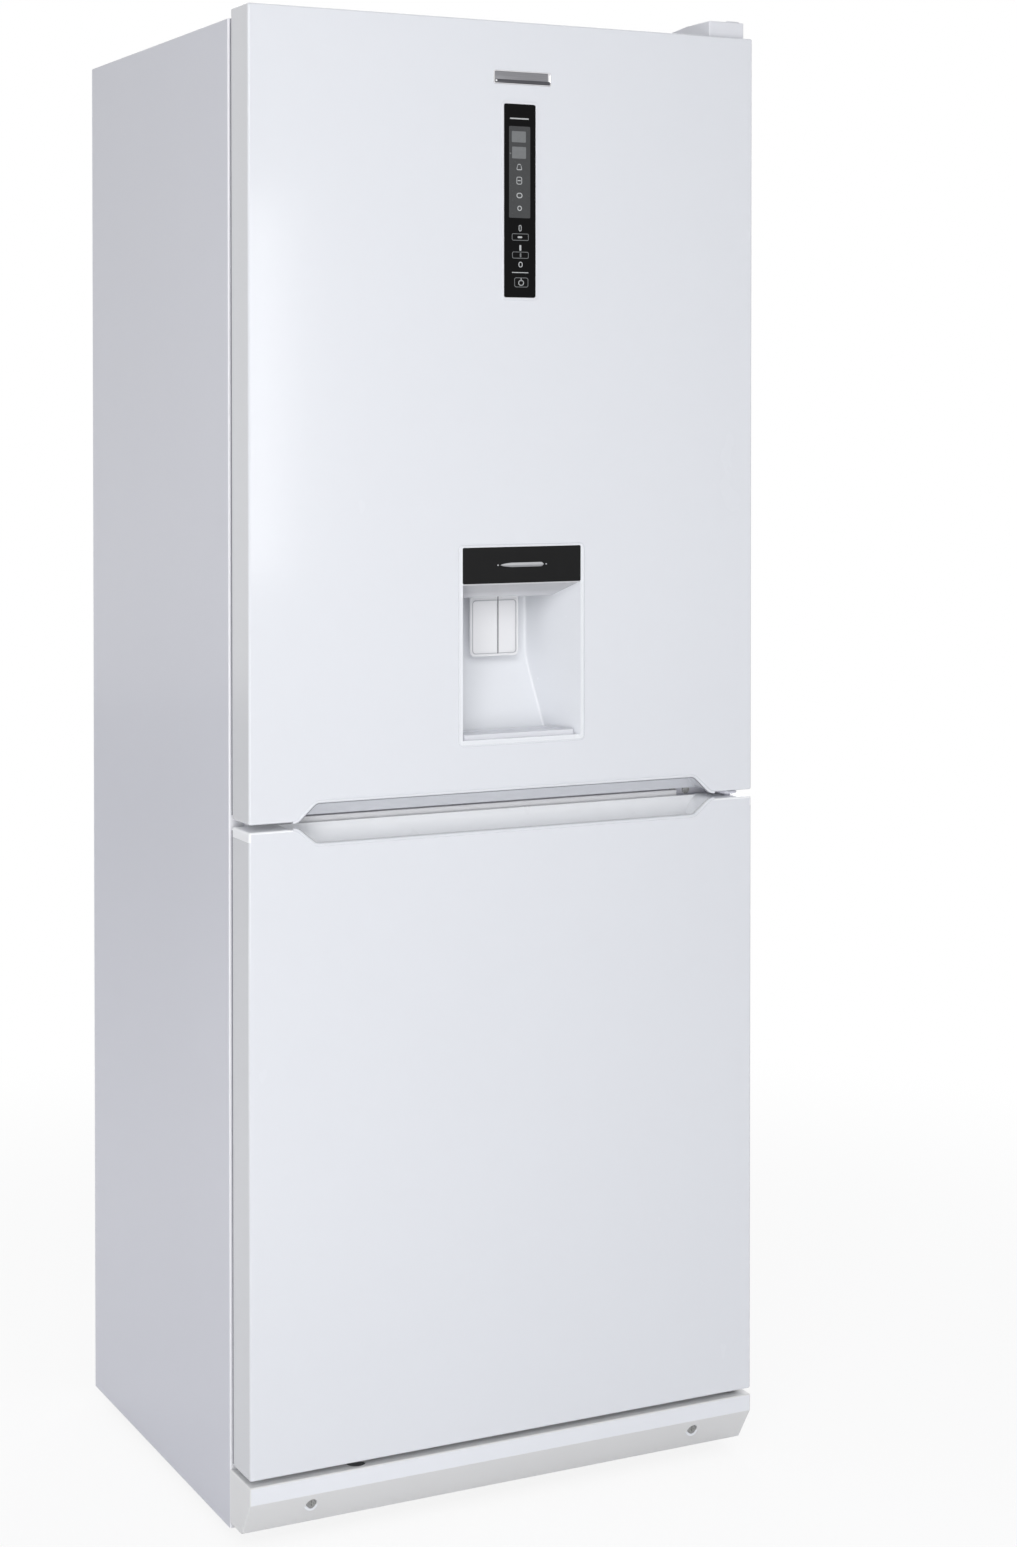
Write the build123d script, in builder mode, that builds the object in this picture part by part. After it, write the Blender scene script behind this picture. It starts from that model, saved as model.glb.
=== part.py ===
"""Free-standing two-door fridge freezer with a water dispenser, in millimetres.

The origin is on the floor under the middle of the overall box, +X to the right of a
person facing the doors, +Y towards the back and +Z up.
"""

import math
import os

from build123d import *

os.makedirs("parts", exist_ok=True)

# Overall sizes
WIDTH = 700.0
CASE_DEPTH = 534.4
CASE_HEIGHT = 1836.5
FLOOR_GAP = 12.0
DOOR_THICK = 55.0
DOOR_GAP = 12.6
PROUD = 1.5
REAR_SPACE = 38.0

# Door layout
DOOR_LIFT = 92.2
LOWER_HEIGHT = 778.9
DOOR_SPLIT = 8.8
DOOR_RISE = 9.8
DOOR_CORNER = 3.0
TOP_CAP = 10.0
GRIP_CAP = 12.0
FOOT_CAP = 16.0
CAP_EDGE = 2.5

# Sheet and wall thicknesses
SHEET = 1.2
LINER = 2.0
FLANGE = 18.0
CASE_EDGE = 2.0
SIDE_WALL = 55.0
TOP_WALL = 55.0
BACK_WALL = 60.0
MULLION = 60.0
RAIL_HEIGHT = 40.0
SILL = 40.0
CAVITY_CORNER = 10.0

# Clearances
RUN = 0.05
LOOSE = 0.3
SLIP = 2.0

# Machine compartment
NICHE_DEPTH = 195.0
NICHE_HEIGHT = 240.0
STEP_WALL = 45.0
ROLLER_ROOM = 4.0
PLATE_T = 2.0
ROLLER_R = 15.0
ROLLER_W = 22.0
ROLLER_IN = 60.0
AXLE_R = 4.0
FOOT_IN = 60.0
FOOT_BACK = 45.0
FOOT_PAD_R = 18.0
FOOT_PAD_T = 9.0
STUD_R = 5.0
STUD_RISE = 26.0
BOSS_WALL = 5.0

# Hinges
HINGE_IN = 22.0
HINGE_BACK = 25.0
HINGE_T = 3.0
HINGE_ARM = 12.0
PIN_R = 5.0
MID_PIN_R = 4.0
PIN_REACH = 8.0
PIN_END = 1.0
ARM_LIFT = 3.0
COVER_WALL = 2.0
COVER_HEIGHT = 21.0
SCREW_HEAD_R = 5.0
SCREW_HEAD_T = 2.5
SCREW_R = 2.4

# Grips between the doors
GRIP_SIDE = 62.0
GRIP_TAPER = 25.0
UPPER_GRIP = 22.6
LOWER_GRIP = 19.9
UPPER_RISE = 0.5
LOWER_RISE = 0.8
GRIP_BACK = 6.0
GRIP_HOOK = 5.0
GRIP_WALL = 2.5
GRIP_ROUND = 14.0

# Door linings and seals
GASKET_W = 16.0
GASKET_IN = 4.0
PLUG_DEEP = 17.0
PLUG_IN = 10.0
DYKE_T = 14.0
DYKE_DEEP = 50.0
DYKE_IN = 9.0
BIN_DEEP = 88.0
BIN_COUNT = 3
BIN_LIFT = 44.0
BIN_FILL = 0.65
TUB_WALL = 2.5

# Front panel features
FEATURE_X = 14.2
PANEL_X = 10.8
PANEL_W = 44.0
PANEL_H = 240.6
PANEL_DROP = 102.2
PANEL_BODY = 12.0
PANEL_CORNER = 3.0
BADGE_W = 80.0
BADGE_H = 17.0
BADGE_DROP = 69.8

# Water dispenser
RIM_W = 175.2
RIM_H = 248.7
RIM_LIFT = 78.8
RIM_LIP = 5.0
RIM_PROUD = 0.8
RIM_CORNER = 6.0
FASCIA_H = 45.2
FASCIA_T = 2.4
FASCIA_CORNER = 2.0
ACCENT_W = 60.0
ACCENT_H = 5.4
BOWL_DEEP = 98.0
BOWL_TAPER = 28.5
BOWL_WALL = 2.5
SOFFIT_DEEP = 50.0
SOFFIT_FALL = 20.0
POCKET_RISE = 10.0
FLOOR_DEEP = 62.0
KNEE_LIFT = 93.0
KNEE_ROUND = 120.0
BOWL_ROUND = 4.0
PADDLE_W = 68.0
PADDLE_H = 98.0
PADDLE_T = 3.0
PADDLE_CORNER = 6.0
PADDLE_GAP = 16.5
GROOVE_SIDE = 5.0
TRUNNION_R = 2.5
LUG_T = 4.0
NOZZLE_R = 6.0
TANK_H = 130.0
TANK_DEEP = 85.0

# Inside the compartments
GLASS_T = 4.0
LEDGE_W = 12.0
LEDGE_T = 6.0
SHELF_SET = 112.0
SHELF_COUNT = 3
CRISPER_H = 165.0
DRAWER_IN = 33.0
DRAWER_SET = 20.0
DRAWER_FRONT = 6.0
RUNNER_W = 50.0
RUNNER_T = 8.0
DRAWER_TOP_GAP = 14.0
LOW_SPACE = 285.3
MID_SPACE = 214.0
FINGER_W = 174.0
FINGER_DROP = 30.0
DUCT_W = 240.0
DUCT_DEEP = 25.0
COIL_SPACE = 75.0
COIL_DEEP = 46.0
FAN_R = 56.0
FAN_SHAFT_R = 2.5

# Planes that follow from the sizes
HALF = WIDTH / 2
DEPTH = PROUD + DOOR_THICK + DOOR_GAP + CASE_DEPTH + REAR_SPACE
DOOR_F = -DEPTH / 2 + PROUD
DOOR_B = DOOR_F + DOOR_THICK
CASE_F = DOOR_B + DOOR_GAP
CASE_B = CASE_F + CASE_DEPTH
CASE_Z0 = FLOOR_GAP
CASE_Z1 = CASE_Z0 + CASE_HEIGHT
LOWER_Z0 = DOOR_LIFT
LOWER_Z1 = LOWER_Z0 + LOWER_HEIGHT
UPPER_Z0 = LOWER_Z1 + DOOR_SPLIT
UPPER_Z1 = CASE_Z1 + DOOR_RISE
SPLIT_MID = (LOWER_Z1 + UPPER_Z0) / 2
CAV_X = HALF - SIDE_WALL
CAV_B = CASE_B - BACK_WALL
FRIDGE_Z0 = SPLIT_MID + MULLION / 2
FRIDGE_Z1 = CASE_Z1 - TOP_WALL
FREEZER_Z0 = LOWER_Z0 + SILL
FREEZER_Z1 = SPLIT_MID - MULLION / 2
RAIL_Z0 = SPLIT_MID - RAIL_HEIGHT / 2
RAIL_Z1 = SPLIT_MID + RAIL_HEIGHT / 2
PAN_TOP = FREEZER_Z0 - SILL / 4
NICHE_F = CASE_B - NICHE_DEPTH
NICHE_Z1 = CASE_Z0 + NICHE_HEIGHT
STEP_F = NICHE_F - STEP_WALL
STEP_Z = NICHE_Z1 + STEP_WALL
AXIS_X = HALF - HINGE_IN
AXIS_Y = DOOR_F + HINGE_BACK
PLUG_B = DOOR_B + PLUG_DEEP
COIL_Y = CAV_B - COIL_SPACE
GRIP_WIDE = WIDTH - 2 * GRIP_SIDE
GRIP_NARROW = GRIP_WIDE - 2 * GRIP_TAPER
GRIP_DEEP = DOOR_THICK - GRIP_BACK
PLATE_LIFT = 2 * ROLLER_R + ROLLER_ROOM
PLUG_X = CAV_X - PLUG_IN
BIN_X = PLUG_X - DYKE_IN - DYKE_T


def facing(y):
    """Plane at y seen from the front, with X to the right and Z up."""
    return Plane(origin=(0, y, 0), x_dir=(1, 0, 0), z_dir=(0, -1, 0))


def slab(x0, x1, y0, y1, z0, z1, mode=Mode.ADD):
    """Block between two corners, added to or taken from the part in hand."""
    with BuildSketch(Plane.XY.offset(z0)) as face:
        with Locations(((x0 + x1) / 2, (y0 + y1) / 2)):
            Rectangle(x1 - x0, y1 - y0)
    extrude(face.sketch, amount=z1 - z0, mode=mode)


def rod_x(y, z, x0, x1, radius, mode=Mode.ADD):
    """Round bar along X."""
    with BuildSketch(Plane.YZ.offset(x0)) as face:
        with Locations((y, z)):
            Circle(radius)
    extrude(face.sketch, amount=x1 - x0, mode=mode)


def rod_y(x, z, y0, y1, radius, mode=Mode.ADD):
    """Round bar along Y."""
    with BuildSketch(facing(y0)) as face:
        with Locations((x, z)):
            Circle(radius)
    extrude(face.sketch, amount=y0 - y1, mode=mode)


def rod_z(x, y, z0, z1, radius, mode=Mode.ADD):
    """Round bar along Z."""
    with BuildSketch(Plane.XY.offset(z0)) as face:
        with Locations((x, y)):
            Circle(radius)
    extrude(face.sketch, amount=z1 - z0, mode=mode)


def prism_x(points, x0, x1, mode=Mode.ADD):
    """Outline of (y, z) points drawn out along X."""
    with BuildSketch(Plane.YZ.offset(x0)) as face:
        with BuildLine():
            Polyline(*points, close=True)
        make_face()
    extrude(face.sketch, amount=x1 - x0, mode=mode)


def prism_z(points, z0, z1, mode=Mode.ADD):
    """Outline of (x, y) points drawn out along Z."""
    with BuildSketch(Plane.XY.offset(z0)) as face:
        with BuildLine():
            Polyline(*points, close=True)
        make_face()
    extrude(face.sketch, amount=z1 - z0, mode=mode)


def door_block(inset, back, z0, z1, mode=Mode.ADD):
    """Door outline with rounded front corners, set in from its sides and front."""
    with BuildSketch(Plane.XY.offset(z0)) as face:
        with Locations((0, (DOOR_F + inset + back) / 2)):
            Rectangle(2 * (HALF - inset), back - DOOR_F - inset)
        fillet(face.vertices().group_by(Axis.Y)[0], DOOR_CORNER - inset)
    extrude(face.sketch, amount=z1 - z0, mode=mode)


def tub(x0, x1, y0, y1, z0, z1, wall=TUB_WALL):
    """Open-topped tray with walls of one thickness."""
    slab(x0, x1, y0, y1, z0, z1)
    slab(x0 + wall, x1 - wall, y0 + wall, y1 - wall, z0 + wall, z1, Mode.SUBTRACT)


def save(builder, name):
    """Label a finished part and write it to its own file."""
    builder.part.label = name
    export_step(builder.part, f"parts/{name}.step")


# Outer wrap: both sides and the top in one bent sheet with a front return
with BuildPart() as outer_wrap:
    slab(-HALF, HALF, CASE_F, CASE_B, CASE_Z0, CASE_Z1)
    front_edges = outer_wrap.edges().filter_by(Axis.Z).group_by(Axis.Y)[0]
    top_edges = outer_wrap.faces().sort_by(Axis.Z)[-1].edges()
    top_edges = [e for e in top_edges if e.center().Y < CASE_B - 1]
    fillet([*front_edges, *top_edges], CASE_EDGE)
    slab(
        SHEET - HALF,
        HALF - SHEET,
        CASE_F + SHEET,
        CASE_B,
        CASE_Z0,
        CASE_Z1 - SHEET,
        Mode.SUBTRACT,
    )
    slab(
        FLANGE - HALF,
        HALF - FLANGE,
        CASE_F,
        CASE_F + SHEET,
        CASE_Z0,
        CASE_Z1 - FLANGE,
        Mode.SUBTRACT,
    )
save(outer_wrap, "outer_wrap")

# Back panel
INNER_X = HALF - SHEET
with BuildPart() as back_panel:
    slab(-INNER_X, INNER_X, CASE_B - SHEET, CASE_B, NICHE_Z1 + SHEET, CASE_Z1 - SHEET)
save(back_panel, "back_panel")

# Base pan: front upstand, floor, and the wall and roof of the machine compartment
FOOT_X = HALF - FOOT_IN
FOOT_Y = CASE_F + FOOT_BACK
BOSS_R = STUD_R + BOSS_WALL
BOSS_TOP = CASE_Z0 + SHEET + STUD_RISE / 2
STUD_TOP = CASE_Z0 + STUD_RISE
with BuildPart() as base_pan:
    prism_x(
        [
            (CASE_F, PAN_TOP),
            (CASE_F, CASE_Z0),
            (NICHE_F, CASE_Z0),
            (NICHE_F, NICHE_Z1),
            (CASE_B, NICHE_Z1),
            (CASE_B, NICHE_Z1 + SHEET),
            (NICHE_F - SHEET, NICHE_Z1 + SHEET),
            (NICHE_F - SHEET, CASE_Z0 + SHEET),
            (CASE_F + SHEET, CASE_Z0 + SHEET),
            (CASE_F + SHEET, PAN_TOP),
        ],
        -INNER_X,
        INNER_X,
    )
    for side in (-1, 1):
        edge = sorted((side * (HALF - FLANGE), side * HALF))
        slab(*edge, CASE_F, CASE_F + SHEET, CASE_Z0, PAN_TOP, Mode.SUBTRACT)
        rod_z(side * FOOT_X, FOOT_Y, CASE_Z0, BOSS_TOP, BOSS_R)
        rod_z(side * FOOT_X, FOOT_Y, CASE_Z0, BOSS_TOP, STUD_R + RUN, Mode.SUBTRACT)
save(base_pan, "base_pan")


# Adjustable front feet
def foot(side):
    """Levelling foot with its stud in the base pan's boss."""
    rod_z(side * FOOT_X, FOOT_Y, 0, FOOT_PAD_T, FOOT_PAD_R)
    rod_z(side * FOOT_X, FOOT_Y, 0, STUD_TOP, STUD_R)
    for step in range(8):
        turn = math.radians(45 * step)
        rod_z(
            side * FOOT_X + FOOT_PAD_R * math.cos(turn),
            FOOT_Y + FOOT_PAD_R * math.sin(turn),
            FOOT_PAD_T / 3,
            FOOT_PAD_T,
            FOOT_PAD_R / 9,
            Mode.SUBTRACT,
        )


with BuildPart() as foot_left:
    foot(-1)
save(foot_left, "foot_left")

with BuildPart() as foot_right:
    foot(1)
save(foot_right, "foot_right")

# Mullion rail between the two compartments
RAIL_X = HALF - FLANGE
with BuildPart() as mullion_rail:
    slab(-RAIL_X, RAIL_X, CASE_F, CASE_F + SHEET, RAIL_Z0, RAIL_Z1)
save(mullion_rail, "mullion_rail")

# Heights inside the fridge compartment
COVER_Z = FRIDGE_Z0 + CRISPER_H + 4 * SLIP
SHELF_STEP = (FRIDGE_Z1 - COVER_Z) / (SHELF_COUNT + 1)
SHELF_ZS = [COVER_Z + SHELF_STEP * (i + 1) for i in range(SHELF_COUNT)]
SHELF_F = CASE_F + SHELF_SET
SHELF_B = CAV_B - DUCT_DEEP - SLIP
SHELF_X = CAV_X - SLIP

# Fridge liner: a white tub with ledges for the shelves
with BuildPart() as fridge_space:
    slab(-CAV_X, CAV_X, CASE_F, CAV_B, FRIDGE_Z0, FRIDGE_Z1)
    inner_edges = fridge_space.edges().filter_by(lambda e: e.center().Y > CASE_F + 1)
    fillet(inner_edges, CAVITY_CORNER)
with BuildPart() as fridge_liner:
    slab(
        -CAV_X - LINER,
        CAV_X + LINER,
        CASE_F,
        CAV_B + LINER,
        FRIDGE_Z0 - LINER,
        FRIDGE_Z1 + LINER,
    )
    slab(-RAIL_X, RAIL_X, CASE_F, CASE_F + LINER, RAIL_Z1, CASE_Z1 - FLANGE)
    add(fridge_space.part, mode=Mode.SUBTRACT)
    for ledge_z in (COVER_Z, *SHELF_ZS):
        for side in (-1, 1):
            span = sorted((side * (CAV_X - LEDGE_W), side * (CAV_X + LINER)))
            slab(*span, SHELF_F, SHELF_B, ledge_z - LEDGE_T, ledge_z)
save(fridge_liner, "fridge_liner")

# Heights inside the freezer compartment
MID_RUNNER = FREEZER_Z0 + LOW_SPACE
TOP_RUNNER = MID_RUNNER + MID_SPACE
DRAWER_F = CASE_F + DRAWER_SET
DRAWER_X = CAV_X - DRAWER_IN
DRAWER_B = COIL_Y - 4 * SLIP
LOW_DRAWER_B = STEP_F - 4 * SLIP


def freezer_outline(grow):
    """Stepped side outline of the freezer space, grown outwards from the cavity."""
    return [
        (CASE_F, FREEZER_Z0 - grow),
        (STEP_F + grow, FREEZER_Z0 - grow),
        (STEP_F + grow, STEP_Z - grow),
        (CAV_B + grow, STEP_Z - grow),
        (CAV_B + grow, FREEZER_Z1 + grow),
        (CASE_F, FREEZER_Z1 + grow),
    ]


# Freezer liner: a stepped tub with runners for the drawers
with BuildPart() as freezer_liner:
    prism_x(freezer_outline(LINER), -CAV_X - LINER, CAV_X + LINER)
    slab(-RAIL_X, RAIL_X, CASE_F, CASE_F + LINER, PAN_TOP, RAIL_Z0)
    prism_x(freezer_outline(0), -CAV_X, CAV_X, Mode.SUBTRACT)
    for runner_z in (MID_RUNNER, TOP_RUNNER):
        for side in (-1, 1):
            span = sorted((side * (CAV_X - RUNNER_W), side * (CAV_X + LINER)))
            slab(*span, DRAWER_F + 10 * SLIP, DRAWER_B, runner_z - RUNNER_T, runner_z)
save(freezer_liner, "freezer_liner")

# Insulating foam between the liners and the case
with BuildPart() as cabinet_foam:
    slab(
        -INNER_X,
        INNER_X,
        CASE_F + LINER,
        CASE_B - SHEET,
        CASE_Z0 + SHEET,
        CASE_Z1 - SHEET,
    )
    slab(
        -CAV_X - LINER,
        CAV_X + LINER,
        CASE_F,
        CAV_B + LINER,
        FRIDGE_Z0 - LINER,
        FRIDGE_Z1 + LINER,
        Mode.SUBTRACT,
    )
    prism_x(freezer_outline(LINER), -CAV_X - LINER, CAV_X + LINER, Mode.SUBTRACT)
    slab(-HALF, HALF, NICHE_F - SHEET, CASE_B, 0, NICHE_Z1 + SHEET, Mode.SUBTRACT)
    for side in (-1, 1):
        rod_z(side * FOOT_X, FOOT_Y, CASE_Z0, STUD_TOP + SLIP, BOSS_R, Mode.SUBTRACT)
save(cabinet_foam, "cabinet_foam")

# Fridge shelves and the glass over the crisper
for number, shelf_z in enumerate(SHELF_ZS, start=1):
    with BuildPart() as fridge_shelf:
        slab(-SHELF_X, SHELF_X, SHELF_F, SHELF_B, shelf_z, shelf_z + GLASS_T)
        upright = fridge_shelf.edges().filter_by(Axis.Z).group_by(Axis.Y)[0]
        fillet(upright, 2 * GLASS_T)
    save(fridge_shelf, f"fridge_shelf_{number}")

with BuildPart() as crisper_cover:
    slab(-SHELF_X, SHELF_X, SHELF_F, SHELF_B, COVER_Z, COVER_Z + GLASS_T)
    slab(
        LEDGE_W - CAV_X + SLIP,
        CAV_X - LEDGE_W - SLIP,
        SHELF_F,
        SHELF_F + 4 * GLASS_T,
        COVER_Z - GLASS_T,
        COVER_Z,
    )
save(crisper_cover, "crisper_cover")

# Crisper drawer on the fridge floor
CRISPER_TOP = FRIDGE_Z0 + CRISPER_H
with BuildPart() as crisper_drawer:
    tub(-DRAWER_X, DRAWER_X, SHELF_F, SHELF_B, FRIDGE_Z0, CRISPER_TOP)
    slab(
        -DRAWER_X,
        DRAWER_X,
        SHELF_F,
        SHELF_F + DRAWER_FRONT,
        FRIDGE_Z0,
        CRISPER_TOP,
    )
    slab(
        -FINGER_W / 2,
        FINGER_W / 2,
        SHELF_F,
        SHELF_F + DRAWER_FRONT,
        CRISPER_TOP - FINGER_DROP,
        CRISPER_TOP,
        Mode.SUBTRACT,
    )
save(crisper_drawer, "crisper_drawer")


# Freezer drawers on their runners
def freezer_drawer(z0, z1, back):
    """Open drawer with a thick front and a finger notch in its top edge."""
    tub(-DRAWER_X, DRAWER_X, DRAWER_F, back, z0, z1)
    slab(-DRAWER_X, DRAWER_X, DRAWER_F, DRAWER_F + DRAWER_FRONT, z0, z1)
    slab(
        -FINGER_W / 2,
        FINGER_W / 2,
        DRAWER_F,
        DRAWER_F + DRAWER_FRONT,
        z1 - FINGER_DROP,
        z1,
        Mode.SUBTRACT,
    )


DRAWERS = {
    "freezer_drawer_top": (TOP_RUNNER, FREEZER_Z1 - DRAWER_TOP_GAP, DRAWER_B),
    "freezer_drawer_middle": (MID_RUNNER, TOP_RUNNER - RUNNER_T - DRAWER_TOP_GAP, DRAWER_B),
    "freezer_drawer_bottom": (FREEZER_Z0, MID_RUNNER - RUNNER_T - DRAWER_TOP_GAP, LOW_DRAWER_B),
}
for drawer_name, drawer_sizes in DRAWERS.items():
    with BuildPart() as drawer:
        freezer_drawer(*drawer_sizes)
    save(drawer, drawer_name)

# Air duct on the fridge's back wall
DUCT_Z0 = COVER_Z + 8 * GLASS_T
DUCT_Z1 = FRIDGE_Z1 - 4 * CAVITY_CORNER
SLOT_H = 6.0
with BuildPart() as air_duct:
    slab(-DUCT_W / 2, DUCT_W / 2, CAV_B - DUCT_DEEP, CAV_B, DUCT_Z0, DUCT_Z1)
    slab(
        LINER - DUCT_W / 2,
        DUCT_W / 2 - LINER,
        CAV_B - DUCT_DEEP + LINER,
        CAV_B,
        DUCT_Z0 + LINER,
        DUCT_Z1 - LINER,
        Mode.SUBTRACT,
    )
    for shelf_z in SHELF_ZS:
        for row in range(3):
            slot_z = shelf_z + SHELF_STEP / 3 + row * 3 * SLOT_H
            slab(
                -DUCT_W / 3,
                DUCT_W / 3,
                CAV_B - DUCT_DEEP,
                CAV_B - DUCT_DEEP + LINER,
                slot_z,
                slot_z + SLOT_H,
                Mode.SUBTRACT,
            )
save(air_duct, "air_duct")

# Lamp lens on the fridge ceiling
LENS_W = 180.0
LENS_T = 8.0
with BuildPart() as light_lens:
    slab(
        -LENS_W / 2,
        LENS_W / 2,
        SHELF_F + LENS_T,
        SHELF_F + LENS_T + LENS_W / 4,
        FRIDGE_Z1 - LENS_T,
        FRIDGE_Z1,
    )
    fillet(light_lens.edges().group_by(Axis.Z)[0], LENS_T / 2)
save(light_lens, "light_lens")

# Freezer back cover in front of the evaporator and fan
FAN_Z = FREEZER_Z1 - 1.6 * FAN_R
COVER_T = LINER
with BuildPart() as evaporator_cover:
    slab(-CAV_X, CAV_X, COIL_Y, COIL_Y + COVER_T, STEP_Z, FREEZER_Z1)
    for row in range(-3, 4):
        slot_z = FAN_Z + 2 * row * SLOT_H
        reach = math.sqrt((FAN_R - SLOT_H) ** 2 - (2 * row * SLOT_H) ** 2)
        slab(
            -reach,
            reach,
            COIL_Y,
            COIL_Y + COVER_T,
            slot_z - SLOT_H / 2,
            slot_z + SLOT_H / 2,
            Mode.SUBTRACT,
        )
    for row in range(4):
        slot_z = STEP_Z + 4 * SLOT_H + 3 * row * SLOT_H
        slab(
            -CAV_X / 2,
            CAV_X / 2,
            COIL_Y,
            COIL_Y + COVER_T,
            slot_z,
            slot_z + SLOT_H,
            Mode.SUBTRACT,
        )
save(evaporator_cover, "evaporator_cover")

# Evaporator: a finned block with tube ends
COIL_IN = 83.0
COIL_X = CAV_X - COIL_IN
COIL_Z0 = STEP_Z + 4 * SLIP
COIL_Z1 = FAN_Z - FAN_R - 10 * SLIP
FIN_COUNT = 36
FIN_PITCH = 2 * COIL_X / FIN_COUNT
FIN_T = 1.0
COIL_Y0 = CAV_B - COIL_DEEP
TUBE_R = 4.0
with BuildPart() as evaporator:
    slab(-COIL_X, COIL_X, COIL_Y0, CAV_B, COIL_Z0, COIL_Z1)
    for fin in range(FIN_COUNT):
        gap_x = -COIL_X + fin * FIN_PITCH + FIN_T
        slab(
            gap_x,
            gap_x + FIN_PITCH - FIN_T,
            COIL_Y0,
            CAV_B - FIN_T,
            COIL_Z0,
            COIL_Z1,
            Mode.SUBTRACT,
        )
    slab(COIL_X, COIL_X + FIN_T, COIL_Y0, CAV_B, COIL_Z0, COIL_Z1)
    for row in range(4):
        tube_z = COIL_Z0 + (COIL_Z1 - COIL_Z0) * (row + 0.5) / 4
        for tube_y in (COIL_Y0 + COIL_DEEP / 4, COIL_Y0 + 3 * COIL_DEEP / 4):
            rod_x(tube_y, tube_z, -COIL_X - 3 * TUBE_R, COIL_X + 3 * TUBE_R, TUBE_R)
save(evaporator, "evaporator")

# Fan motor on a spider behind the back cover
ROTOR_Y0 = COIL_Y + COVER_T + SLIP
ROTOR_L = 18.0
MOTOR_Y0 = ROTOR_Y0 + ROTOR_L + SLIP
MOTOR_L = 28.0
MOTOR_R = 25.0
ARM_W = 8.0
RING_R = FAN_R + 4 * SLIP
with BuildPart() as fan_motor:
    rod_y(0, FAN_Z, MOTOR_Y0, MOTOR_Y0 + MOTOR_L, MOTOR_R)
    for spin in (45, 135, 225, 315):
        turn = math.radians(spin)
        tip_x = RING_R * math.cos(turn)
        tip_z = FAN_Z + RING_R * math.sin(turn)
        rod_y(tip_x, tip_z, COIL_Y + COVER_T, MOTOR_Y0 + ARM_W, ARM_W / 2)
        with BuildSketch(facing(MOTOR_Y0)):
            with Locations((tip_x / 2, (FAN_Z + tip_z) / 2)):
                Rectangle(RING_R, ARM_W / 2, rotation=spin)
        extrude(amount=-ARM_W)
    rod_y(0, FAN_Z, ROTOR_Y0 + SLIP, MOTOR_Y0, FAN_SHAFT_R)
save(fan_motor, "fan_motor")

# Fan rotor
HUB_R = 18.0
BLADES = 5
with BuildPart() as fan_rotor:
    rod_y(0, FAN_Z, ROTOR_Y0, ROTOR_Y0 + ROTOR_L, HUB_R)
    for blade in range(BLADES):
        lean = Plane(
            origin=(0, ROTOR_Y0 + ROTOR_L / 2, FAN_Z),
            x_dir=(math.cos(2 * math.pi * blade / BLADES), 0, math.sin(2 * math.pi * blade / BLADES)),
            z_dir=(
                -0.8 * math.sin(2 * math.pi * blade / BLADES),
                -0.6,
                0.8 * math.cos(2 * math.pi * blade / BLADES),
            ),
        )
        with BuildSketch(lean):
            with BuildLine():
                Polyline(
                    (HUB_R - SLIP, -ROTOR_L / 3),
                    (FAN_R - 2 * SLIP, -ROTOR_L / 2),
                    (FAN_R - SLIP, ROTOR_L / 2),
                    (HUB_R - SLIP, ROTOR_L / 3),
                    close=True,
                )
            make_face()
        extrude(amount=SLIP / 2, both=True)
    rod_y(0, FAN_Z, ROTOR_Y0 + SLIP, ROTOR_Y0 + ROTOR_L, FAN_SHAFT_R + RUN, Mode.SUBTRACT)
save(fan_rotor, "fan_rotor")

# Machine plate with the roller forks and axles
ROLLER_X = HALF - ROLLER_IN
ROLLER_Y = CASE_B - 2.4 * ROLLER_R
PLATE_Z1 = PLATE_LIFT + PLATE_T
CHEEK = 3.0
CHEEK_X = ROLLER_W / 2 + 1
PLATE_F = NICHE_F + 10 * SLIP
PLATE_B = CASE_B - 2 * SLIP
with BuildPart() as machine_plate:
    slab(-INNER_X, INNER_X, PLATE_F, PLATE_B, PLATE_LIFT, PLATE_Z1)
    slab(-INNER_X, INNER_X, PLATE_F, PLATE_F + PLATE_T, PLATE_LIFT, PLATE_Z1 + 6 * PLATE_T)
    slab(-INNER_X, INNER_X, PLATE_B - PLATE_T, PLATE_B, PLATE_LIFT, PLATE_Z1 + 6 * PLATE_T)
    for side in (-1, 1):
        mid = side * ROLLER_X
        for cheek_x in (mid - CHEEK_X - CHEEK, mid + CHEEK_X):
            slab(
                cheek_x,
                cheek_x + CHEEK,
                ROLLER_Y - 3 * AXLE_R,
                ROLLER_Y + 3 * AXLE_R,
                ROLLER_R - 2 * AXLE_R,
                PLATE_LIFT,
            )
        rod_x(ROLLER_Y, ROLLER_R, mid - CHEEK_X - CHEEK, mid + CHEEK_X + CHEEK, AXLE_R)
save(machine_plate, "machine_plate")


# Rear rollers
def roller(side):
    """Roller turning on its axle in the machine plate's fork."""
    mid = side * ROLLER_X
    rod_x(ROLLER_Y, ROLLER_R, mid - ROLLER_W / 2, mid + ROLLER_W / 2, ROLLER_R)
    rod_x(
        ROLLER_Y,
        ROLLER_R,
        mid - ROLLER_W / 2,
        mid + ROLLER_W / 2,
        AXLE_R + RUN,
        Mode.SUBTRACT,
    )


with BuildPart() as roller_left:
    roller(-1)
save(roller_left, "roller_left")

with BuildPart() as roller_right:
    roller(1)
save(roller_right, "roller_right")

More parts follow.
